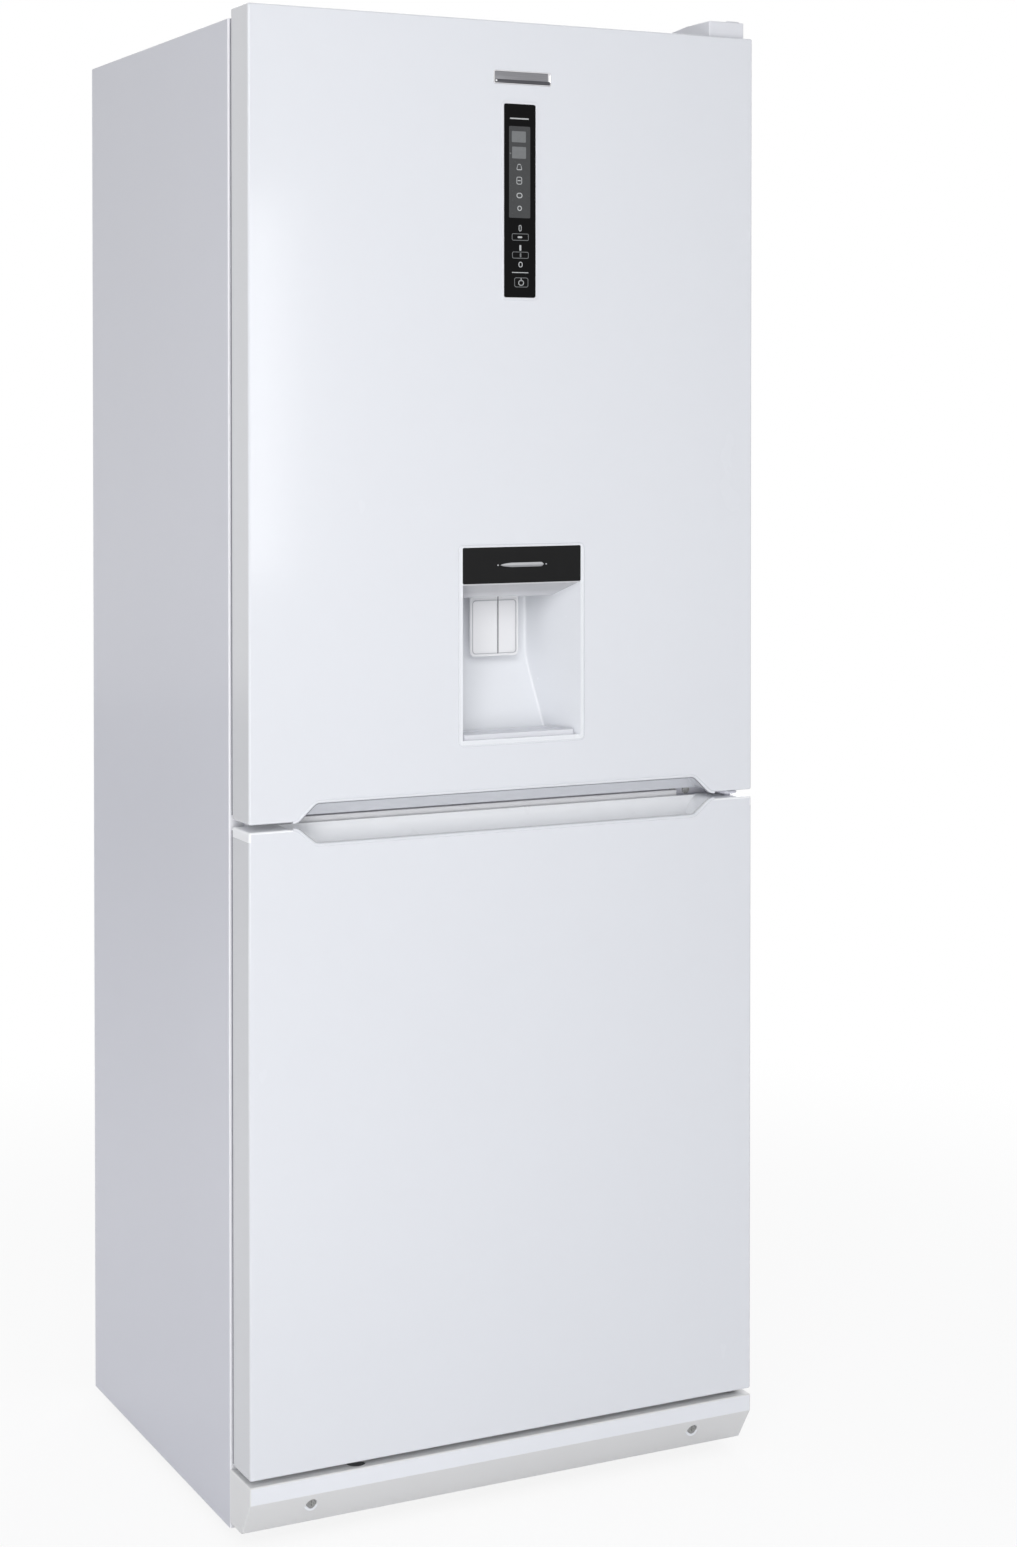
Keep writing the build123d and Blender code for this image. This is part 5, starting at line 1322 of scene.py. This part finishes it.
@dataclass
class ControlPanel(Assembly):
    """Touch panel: black glass, a white bezel, a display window and plain symbols."""

    finishes: Dict[str, Finish] = field(default_factory=lambda: {"control_panel": PANEL_GLASS})
    soft_edges: Dict[str, float] = field(default_factory=lambda: {"control_panel": 0.0006})
    bezel_width: float = 0.0032
    bezel_lift: float = 0.0012
    bezel_corner: float = 0.0022
    bezel_gap: float = 0.0001
    bezel_soft: Point2 = (0.0005, 0.0004)
    ink_back: float = 0.00002
    ink_corner: float = 0.0002
    marks: Tuple[Mark, ...] = (
        Mark("light_bar", Shape.FILLED, -0.0007, 0.0181, 0.0262, 0.0016, 0.0007, INK_LIGHT),
        Mark("display_window", Shape.FILLED, -0.0002, 0.0846, 0.0295, 0.1139, 0.0014, WINDOW_GREY, lift=0.0001),
        Mark("digit_upper", Shape.FILLED, -0.0014, 0.0407, 0.0196, 0.0138, 0.0012, DIGIT_GREY),
        Mark("digit_lower", Shape.FILLED, -0.0011, 0.0604, 0.0194, 0.0146, 0.0012, DIGIT_GREY),
        Mark("digit_dot", Shape.FILLED, -0.0130, 0.0616, 0.0020, 0.0020, 0.0009, INK_FAINT),
        Mark("bell_symbol", Shape.OUTLINE, -0.0008, 0.0782, 0.0084, 0.0076, 0.0022, INK_LIGHT, taper=0.5),
        Mark("card_symbol", Shape.OUTLINE, -0.0008, 0.0951, 0.0076, 0.0096, 0.0024, INK_LIGHT, line=0.0008),
        Mark("card_bar", Shape.FILLED, -0.0008, 0.0951, 0.0044, 0.0011, 0.0005, INK_LIGHT),
        Mark("oval_symbol", Shape.OUTLINE, -0.0005, 0.1136, 0.0082, 0.0066, 0.0032, INK_LIGHT, line=0.0011),
        Mark("round_symbol", Shape.OUTLINE, -0.0003, 0.1295, 0.0062, 0.0064, 0.0030, INK_LIGHT, line=0.0011),
        Mark("small_symbol", Shape.OUTLINE, 0.0004, 0.1542, 0.0038, 0.0078, 0.0018, INK_LIGHT, line=0.0008),
        Mark("first_key", Shape.OUTLINE, 0.0006, 0.1653, 0.0234, 0.0088, 0.0018, INK_FAINT, line=0.0008),
        Mark("first_key_dot", Shape.FILLED, 0.0002, 0.1655, 0.0064, 0.0022, 0.0010, INK_LIGHT),
        Mark("dash", Shape.FILLED, 0.0007, 0.1788, 0.0026, 0.0072, 0.0010, INK_LIGHT),
        Mark("second_key", Shape.OUTLINE, 0.0008, 0.1878, 0.0230, 0.0085, 0.0022, INK_FAINT, line=0.0008),
        Mark("second_key_dot", Shape.FILLED, 0.0010, 0.1878, 0.0022, 0.0054, 0.0010, INK_FAINT),
        Mark("drop_symbol", Shape.OUTLINE, 0.0010, 0.1995, 0.0056, 0.0070, 0.0027, INK_LIGHT, line=0.0010),
        Mark("line", Shape.FILLED, 0.0004, 0.2095, 0.0229, 0.0010, 0.0004, INK_LIGHT),
        Mark("third_key", Shape.OUTLINE, 0.0020, 0.2217, 0.0195, 0.0122, 0.0028, INK_FAINT, line=0.0008),
        Mark("power_ring", Shape.OUTLINE, 0.0018, 0.2223, 0.0078, 0.0068, 0.0033, INK_LIGHT),
        Mark("power_stroke", Shape.FILLED, 0.0018, 0.2182, 0.0011, 0.0042, 0.0005, INK_LIGHT),
    )

    def trim(self) -> None:
        """Bezel and printed marks."""
        self.bezel()
        low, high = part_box("control_panel")
        for mark in self.marks:
            self.print_mark(mark, (low.x + high.x) / 2, high.z, low.y)

    def bezel(self) -> None:
        """White frame round the glass."""
        middle, size = front_view("control_panel")
        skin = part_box("fridge_door_skin")[0].y
        front = skin - self.bezel_lift
        ease, sunk = self.bezel_soft
        rows = (
            (self.bezel_width, skin),
            (self.bezel_width, front + sunk),
            (self.bezel_width - ease, front),
            (self.bezel_gap + ease, front),
            (self.bezel_gap, front + sunk),
            (self.bezel_gap, skin),
        )
        loops = grown_loops(middle, size, self.bezel_corner, rows)
        self.add("panel_bezel", loops, Body.FRIDGE_DOOR, WHITE_PLASTIC, Slot.WHITE_PLASTIC, ring=True)

    def print_mark(self, mark: Mark, centre_x: float, top: float, glass_y: float) -> None:
        """One printed mark as a thin layer on the glass.

        Args:
            mark: The mark.
            centre_x: Middle of the panel.
            top: The panel's top edge.
            glass_y: Depth of the glass's face.
        """
        centre = (centre_x + mark.x, top - mark.drop)
        back, face = glass_y - self.ink_back, glass_y - mark.lift
        outlined = mark.shape is Shape.OUTLINE
        loops = [rounded_loop(centre, (mark.width, mark.height), mark.radius, y) for y in (back, face)]
        if outlined:
            inner = (mark.width - 2 * mark.line, mark.height - 2 * mark.line)
            radius = max(mark.radius - mark.line, self.ink_corner)
            loops += [rounded_loop(centre, inner, radius, y) for y in (face, back)]
        for point in (spot for loop in loops for spot in loop):
            rise = (point.z - centre[1]) / mark.height + 0.5
            point.x = centre[0] + (point.x - centre[0]) * (1 - mark.taper * rise)
        name = "panel_" + mark.name
        self.add(name, loops, Body.FRIDGE_DOOR, mark.finish, Slot.BLACK_GLOSS, ring=outlined)


@dataclass
class Dispenser(Assembly):
    """Water dispenser: housing, black band, bright bar, tray, paddle, spout and tank."""

    finishes: Dict[str, Finish] = field(
        default_factory=lambda: {
            # The housing's paler moulding is painted light in the recess.
            "dispenser_housing": LIT_BOWL_PLASTIC,
            "dispenser_fascia": FASCIA_GLASS,
            "dispenser_accent": BRIGHT_TRIM,
            "drip_tray": WHITE_PLASTIC,
            "dispenser_paddle": PADDLE_PLASTIC,
            "dispenser_nozzle": WHITE_PLASTIC,
            "water_tank": CLEAR_PLASTIC,
        }
    )
    soft_edges: Dict[str, float] = field(
        default_factory=lambda: {
            "dispenser_housing": 0.0010,
            "dispenser_fascia": 0.0006,
            "drip_tray": 0.0008,
            "dispenser_paddle": 0.0008,
        }
    )
    rim_out: float = 0.0006
    rim_in: float = 0.0015
    rim_lift: float = 0.0013
    rim_corner: float = 0.006
    rim_step: float = 0.0001
    soffit_deep: float = 0.050
    soffit_fall: float = 0.020
    soffit_taper: float = 0.0285 / 0.098
    soffit_skin: float = 0.0005
    soffit_lip: float = 0.0011
    soffit_gap: float = 0.0001
    soffit_back: float = 0.0004
    soffit_side: float = 0.0003
    soffit_out: Point2 = (0.0002, 0.0005)
    bar_steps: int = 28
    bar_point: float = 0.25
    bar_round: float = 0.05
    bar_tip: float = 0.004
    bar_side: float = 0.0003
    bar_crown: Tuple[Point2, ...] = ((0.72, 0.0001), (0.3, 0.0))
    pin_gap: float = 0.0036
    pin_size: float = 0.0018
    pin_corner: float = 0.45
    pin_soft: float = 0.2
    pin_lift: Point2 = (0.0004, 0.0006)
    paddle_half: float = 0.034
    paddle_front: float = 0.0015
    paddle_bead: float = 0.0012
    paddle_corner: float = 0.0050
    paddle_head: float = 0.012
    bead_sunk: float = 0.0008
    line_sunk: float = 0.0002
    line_lift: float = 0.0001
    groove_half: float = 0.0008
    groove_side: float = 0.005
    groove_short: float = 0.003
    groove_corner: float = 0.0005
    groove_crown: Point3 = (0.8, 0.0004, 0.0004)
    seam_in: float = 0.0015
    seam_rise: float = 0.0704
    seam_line: float = 0.0011

    def trim(self) -> None:
        """Rim, soffit, bright bar with its pins, and the paddle's border, with the seam and groove that paint
        its shade lines.
        """
        self.rim()
        self.soffit()
        self.bright_bar()
        self.paddle_lines()

    def rim(self) -> None:
        """Rolled bead round the recess."""
        middle, size = front_view("dispenser_housing")
        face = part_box("fridge_door_skin")[0].y
        front, step = face - self.rim_lift, self.rim_step
        rows = (
            (self.rim_out, face),
            (self.rim_out, front + 6 * step),
            (0.6 * self.rim_out, front + 2 * step),
            (-step, front),
            (4 * step - self.rim_in, front),
            (step - self.rim_in, front + 3 * step),
            (-self.rim_in, face),
        )
        loops = grown_loops(middle, size, self.rim_corner, rows)
        self.add("dispenser_rim", loops, Body.FRIDGE_DOOR, CAP_PLASTIC, Slot.WHITE_PLASTIC, ring=True)

    def soffit(self) -> None:
        """Satin strip on the slope under the black band, with a rolled front edge."""
        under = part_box("dispenser_fascia")[0].z
        (middle, _), (width, _) = front_view("dispenser_fascia")
        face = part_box("fridge_door_skin")[0].y
        slope = self.soffit_fall / self.soffit_deep
        rear = face + self.soffit_deep - self.soffit_back
        skin, lip, gap = self.soffit_skin, self.soffit_lip, self.soffit_gap
        ease, out = self.soffit_out
        profile = (
            (face - ease, under - gap),
            (face - out, under - 0.5 * lip),
            (face - ease, under - lip),
            (face + lip, under - 1.3 * lip - slope * lip),
            (face + 2.4 * lip, under - skin - 2.4 * slope * lip),
            (rear, under - skin - slope * (rear - face)),
            (rear, under - gap - slope * (rear - face)),
            (face, under - gap),
        )
        half = width / 2 - self.soffit_side
        reach = [half - self.soffit_taper * max(y - face, 0.0) for y, _ in profile]
        loops = [
            [Vector((middle + side * x, y, z)) for x, (y, z) in zip(reach, profile)] for side in (-1, 1)
        ]
        self.add("soffit_strip", loops, Body.FRIDGE_DOOR, SOFFIT_PLASTIC, Slot.WHITE_PLASTIC)

    def bar_rise(self, share: float) -> float:
        """Half height of the bright bar along its length.

        Args:
            share: Place from the left end, 0, to the right end, 1.

        Returns:
            The share of the bar's full half height there.
        """
        point = min(1.0, (share + self.bar_tip) / self.bar_point) ** 0.5
        past = max(0.0, (share - (1 - self.bar_round)) / self.bar_round)
        return point * math.sqrt(max(self.bar_tip, 1 - past**2))

    def bright_bar(self) -> None:
        """Spindle-shaped bar that comes to a point at its left, and a pin beyond each end."""
        low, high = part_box("dispenser_accent")
        (_, middle), (length, height) = front_view("dispenser_accent")
        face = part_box("dispenser_fascia")[0].y
        shares = [step / self.bar_steps for step in range(self.bar_steps + 1)]
        upper = [(low.x + share * length, self.bar_rise(share) * height / 2) for share in shares]
        outline = upper + [(x, -rise) for x, rise in reversed(upper)]
        crown = [(scale, low.y + sunk) for scale, sunk in self.bar_crown]
        loops = [
            [Vector((x, y, middle + scale * rise)) for x, rise in outline]
            for scale, y in ((1.0, face), (1.0, face - self.bar_side), *crown)
        ]
        bar = self.add("bright_bar", loops, Body.FRIDGE_DOOR, BRIGHT_TRIM, Slot.BRIGHT_TRIM)
        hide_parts("dispenser_accent")
        pin = self.pin_size
        side, top = (face - lift for lift in self.pin_lift)
        rows = ((0.0, face), (0.0, side), (-self.pin_soft * pin, top))
        for name, x in (("left", low.x - self.pin_gap), ("right", high.x + self.pin_gap)):
            loops = grown_loops((x, middle), (pin, pin), self.pin_corner * pin, rows)
            self.add(f"accent_pin_{name}", loops, Body.FRIDGE_DOOR, BRIGHT_TRIM, Slot.BRIGHT_TRIM)

    def paddle_lines(self) -> None:
        """Rolled border of the paddle, the fine seam inside it and the dark groove down its middle, both
        painted shade lines.
        """
        low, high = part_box("dispenser_paddle")
        middle = front_view("dispenser_fascia")[0][0]
        half = self.paddle_half - self.paddle_bead
        top = high.z - self.paddle_head
        bottom = low.z + self.paddle_bead
        front = (low.y + high.y) / 2 - self.paddle_front
        left, right = middle - half, middle + half
        points = ((left, top), (left, bottom), (right, bottom), (right, top))
        path = rounded_path(points, self.paddle_corner, front + self.bead_sunk)
        loops = bead_loops(path, self.paddle_bead)
        self.add("paddle_border", loops, Body.PADDLE, PADDLE_PLASTIC, Slot.WHITE_PLASTIC)
        self.paddle_shade_seam((middle, bottom), half - self.seam_in, front)
        self.paddle_groove_shade((middle + self.groove_side, (top + bottom) / 2), top - bottom, front)

    def paddle_shade_seam(self, foot: Point2, half: float, front: float) -> None:
        """Fine seam inside the paddle's border: a painted shade line.

        Args:
            foot: Middle of the border's foot as X and Z.
            half: Half of the seam's width.
            front: Depth of the paddle's face.
        """
        centre = (foot[0], foot[1] + (self.seam_in + self.seam_rise) / 2)
        sunk, lifted = front + self.line_sunk, front - self.line_lift
        rows = ((0.0, sunk), (0.0, lifted), (-self.seam_line, lifted), (-self.seam_line, sunk))
        loops = grown_loops(centre, (2 * half, self.seam_rise - self.seam_in), self.paddle_corner, rows)
        self.add("paddle_shade_seam", loops, Body.PADDLE, GREY_SHADE_LINE, Slot.WHITE_PLASTIC, ring=True)

    def paddle_groove_shade(self, centre: Point2, height: float, front: float) -> None:
        """Dark strip down the paddle's face: painted shade of its groove.

        Args:
            centre: Middle of the groove as X and Z.
            height: Height of the border that it runs within.
            front: Depth of the paddle's face.
        """
        size = (2 * self.groove_half, height - self.groove_short)
        narrow, shorter, corner = self.groove_crown
        crown = (narrow * size[0], size[1] - shorter)
        loops = [
            rounded_loop(centre, size, self.groove_corner, front + self.line_sunk),
            rounded_loop(centre, size, self.groove_corner, front - self.line_lift),
            rounded_loop(centre, crown, corner, front - 2 * self.line_lift),
        ]
        self.add("paddle_groove_shade", loops, Body.PADDLE, GROOVE_SHADE_LINE, Slot.WHITE_PLASTIC)


@dataclass
class FridgeInside(Assembly):
    """Fridge liner, glass shelves with their trims, crisper, duct and lamp."""

    finishes: Dict[str, Finish] = field(
        default_factory=lambda: {
            "fridge_liner": LINER_PLASTIC,
            "fridge_shelf_1": SHELF_GLASS,
            "fridge_shelf_2": SHELF_GLASS,
            "fridge_shelf_3": SHELF_GLASS,
            "crisper_cover": SHELF_GLASS,
            "crisper_drawer": CLEAR_PLASTIC,
            "air_duct": LINER_PLASTIC,
            "light_lens": LAMP_LENS,
        }
    )
    shelves: Tuple[str, ...] = ("fridge_shelf_1", "fridge_shelf_2", "fridge_shelf_3", "crisper_cover")
    glass: float = 0.004
    lip_out: float = 0.0026
    lip_deep: float = 0.013
    lip_wall: float = 0.0018
    lip_soft: float = 0.6
    lip_in: float = 0.002
    clear: float = 0.0001

    def trim(self) -> None:
        """Moulded edge on each shelf."""
        for node in self.shelves:
            self.shelf_edge(node)

    def shelf_edge(self, node: str) -> None:
        """Moulding that wraps the front edge of a glass shelf.

        Args:
            node: The shelf's CAD node.
        """
        low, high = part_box(node)
        front = low.y - self.lip_out
        back = low.y + self.lip_deep
        slot = low.y - self.clear
        over = high.z + self.clear
        top = over + self.lip_wall
        bottom = high.z - self.glass - self.clear - self.lip_wall
        soft = self.lip_soft * self.lip_wall
        profile = (
            (front + soft, top),
            (front, top - soft),
            (front, bottom + soft),
            (front + soft, bottom),
            (slot, bottom),
            (slot, over),
            (back, over),
            (back, top - soft),
            (back - soft, top),
        )
        loops = bar_loops(profile, low.x + self.lip_in, high.x - self.lip_in)
        self.add(node + "_edge", loops, Body.CABINET, WHITE_PLASTIC, Slot.WHITE_PLASTIC)


@dataclass
class FreezerInside(Assembly):
    """Freezer liner, drawers with their grip lips, back cover, coil and fan."""

    finishes: Dict[str, Finish] = field(
        default_factory=lambda: {
            "freezer_liner": LINER_PLASTIC,
            "freezer_drawer_top": CLEAR_PLASTIC,
            "freezer_drawer_middle": CLEAR_PLASTIC,
            "freezer_drawer_bottom": CLEAR_PLASTIC,
            "evaporator_cover": LINER_PLASTIC,
            "evaporator": FIN_METAL,
            "fan_motor": DARK_PLASTIC,
            "fan_rotor": WHITE_PLASTIC,
        }
    )
    grips: Tuple[Tuple[str, Body], ...] = (
        ("freezer_drawer_top", Body.DRAWER_TOP),
        ("freezer_drawer_middle", Body.DRAWER_MIDDLE),
        ("freezer_drawer_bottom", Body.DRAWER_BOTTOM),
        ("crisper_drawer", Body.CRISPER),
    )
    notch_half: float = 0.087
    notch_drop: float = 0.030
    lip_out: float = 0.006
    lip_height: float = 0.009
    lip_soft: float = 0.0015
    hook: Point2 = (0.0022, 0.003)
    root: float = 0.0034

    def trim(self) -> None:
        """Grip lip under the finger notch of each drawer."""
        for node, body in self.grips:
            low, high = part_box(node)
            top = high.z - self.notch_drop
            out = low.y - self.lip_out
            profile = (
                (low.y, top),
                (out + self.lip_soft, top),
                (out, top - self.lip_soft),
                (out, top - self.lip_height),
                (out + self.lip_soft, top - self.lip_height),
                (out + self.hook[0], top - self.hook[1]),
                (low.y, top - self.root),
            )
            loops = bar_loops(profile, -self.notch_half, self.notch_half)
            self.add(node + "_grip", loops, body, CLEAR_PLASTIC, Slot.CLEAR_PLASTIC)


@dataclass(frozen=True)
class Lamp:
    """One soft studio lamp."""

    name: str
    place: Point3
    aim: Point3
    size: Point2
    power: float


@dataclass
class Studio:
    """Pale floor, white surround, soft lamps and the camera."""

    floor_half: float = 9.0
    floor_drop: float = 0.0004
    floor_paper: Colour = display(246, 246, 247)
    floor_glow: float = 0.88
    floor_fade: Point2 = (0.6, 5.0)
    ambient: float = 0.46
    ambient_tint: Colour = (0.97, 0.98, 1.0, 1.0)
    lamps: Tuple[Lamp, ...] = (
        Lamp("key_high", (-1.3, -2.6, 2.3), (0.0, -0.3, 1.2), (1.6, 1.0), 25.0),
        Lamp("key_low", (-1.3, -2.6, 0.6), (0.0, -0.3, 0.6), (1.4, 0.8), 17.5),
        Lamp("edge", (0.80, -3.3, 1.43), (-0.35, -0.3, 1.40), (0.12, 0.9), 2.8),
        Lamp("side", (-1.7, 0.9, 0.1), (-0.35, 0.3, 0.35), (1.0, 0.6), 7.0),
        Lamp("fill", (3.4, -2.2, 2.2), (0.0, 0.0, 0.9), (2.4, 2.4), 3.0),
        Lamp("rear", (1.8, 3.6, 2.6), (0.0, 0.0, 0.9), (2.6, 2.6), 46.0),
    )
    camera_place: Point3 = (-1.48875, -3.30199, 1.37065)
    camera_turn: float = -26.452
    camera_pitch: float = 1.0
    sensor: float = 36.0
    lens: float = 62.2515
    shift: Point2 = (0.0, -0.20235)

    def build(self) -> None:
        """Set up the floor, the world, the lamps and the camera."""
        bpy.context.scene.view_settings.view_transform = "Standard"
        self.floor()
        self.surround()
        for lamp in self.lamps:
            self.hang(lamp)
        self.camera()

    def paper(self) -> bpy.types.Material:
        """Floor material: paper that glows white to the camera, more so away from the object.

        Returns:
            The material.
        """
        material = bpy.data.materials.new("floor_paper")
        material.use_nodes = True
        graph = Graph(material.node_tree)
        matt = graph.node("ShaderNodeBsdfDiffuse", None, {"Color": self.floor_paper})
        glow = graph.node("ShaderNodeEmission", None, {"Color": WHITE, "Strength": 1.0})
        x, y, _ = graph.split(graph.node("ShaderNodeTexCoord", output="Object"))
        far = (x * x + y * y).ease(*self.floor_fade)
        camera_ray = graph.node("ShaderNodeLightPath", output="Is Camera Ray")
        seen = camera_ray * (self.floor_glow + (1 - self.floor_glow) * far)
        mixed = graph.node("ShaderNodeMixShader", None, {0: seen, 1: matt, 2: glow})
        graph.node("ShaderNodeOutputMaterial", None, {"Surface": mixed})
        return material

    def floor(self) -> None:
        """Pale floor that keeps the object's shadow."""
        half = self.floor_half
        spots = ((-half, -half), (half, -half), (half, half), (-half, half))
        work = bmesh.new()
        work.faces.new([work.verts.new((x, y, -self.floor_drop)) for x, y in spots])
        mesh = bpy.data.meshes.new("floor")
        work.to_mesh(mesh)
        work.free()
        mesh.materials.append(self.paper())
        sheet = bpy.data.objects.new("floor", mesh)
        bpy.context.scene.collection.objects.link(sheet)

    def surround(self) -> None:
        """Even grey light all round that looks white to the camera, to gloss and through glass."""
        world = bpy.data.worlds.new("studio")
        world.use_nodes = True
        bpy.context.scene.world = world
        graph = Graph(world.node_tree)
        kinds = ("Is Camera Ray", "Is Glossy Ray", "Is Transmission Ray")
        camera, gloss, through = (graph.node("ShaderNodeLightPath", output=kind) for kind in kinds)
        seen = (camera + gloss + through).above(0.5)
        tones = ({"Color": self.ambient_tint, "Strength": self.ambient}, {"Color": WHITE, "Strength": 1.0})
        soft, white = (graph.node("ShaderNodeBackground", None, tone) for tone in tones)
        mixed = graph.node("ShaderNodeMixShader", None, {0: seen, 1: soft, 2: white})
        graph.node("ShaderNodeOutputWorld", None, {"Surface": mixed})

    def hang(self, lamp: Lamp) -> None:
        """Hang one soft lamp.

        Args:
            lamp: Its place, aim, size and power.
        """
        light = bpy.data.lights.new(lamp.name, "AREA")
        light.shape = "RECTANGLE"
        light.size, light.size_y = lamp.size
        light.energy = lamp.power
        holder = bpy.data.objects.new(lamp.name, light)
        holder.location = lamp.place
        holder.visible_camera = False
        direction = Vector(lamp.aim) - Vector(lamp.place)
        holder.rotation_euler = direction.to_track_quat("-Z", "Y").to_euler()
        bpy.context.scene.collection.objects.link(holder)

    def camera(self) -> None:
        """Camera at the photograph's place."""
        lens = bpy.data.cameras.new("camera")
        lens.sensor_width = self.sensor
        lens.lens = self.lens
        lens.shift_x, lens.shift_y = self.shift
        holder = bpy.data.objects.new("camera", lens)
        holder.location = self.camera_place
        pitch, turn = math.radians(90.0 - self.camera_pitch), math.radians(self.camera_turn)
        holder.rotation_euler = (pitch, 0.0, turn)
        bpy.context.scene.collection.objects.link(holder)
        bpy.context.scene.camera = holder


def main() -> None:
    """Dress the part, warn of nodes left without a finish, and set the studio."""
    logging.basicConfig(level=logging.INFO, format="%(name)s %(message)s")
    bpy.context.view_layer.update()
    assemblies: Tuple[Assembly, ...] = (
        Case(),
        Hinges(),
        MachineSpace(),
        FridgeDoor(),
        FreezerDoor(),
        ControlPanel(),
        Dispenser(),
        FridgeInside(),
        FreezerInside(),
    )
    for assembly in assemblies:
        assembly.build()
    dressed = {node for assembly in assemblies for node in assembly.finishes}
    bare = sorted(set(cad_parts) - dressed)
    if bare:
        LOG.warning("nodes without a finish: %s", ", ".join(bare))
    Studio().build()


if __name__ == "__main__":
    main()
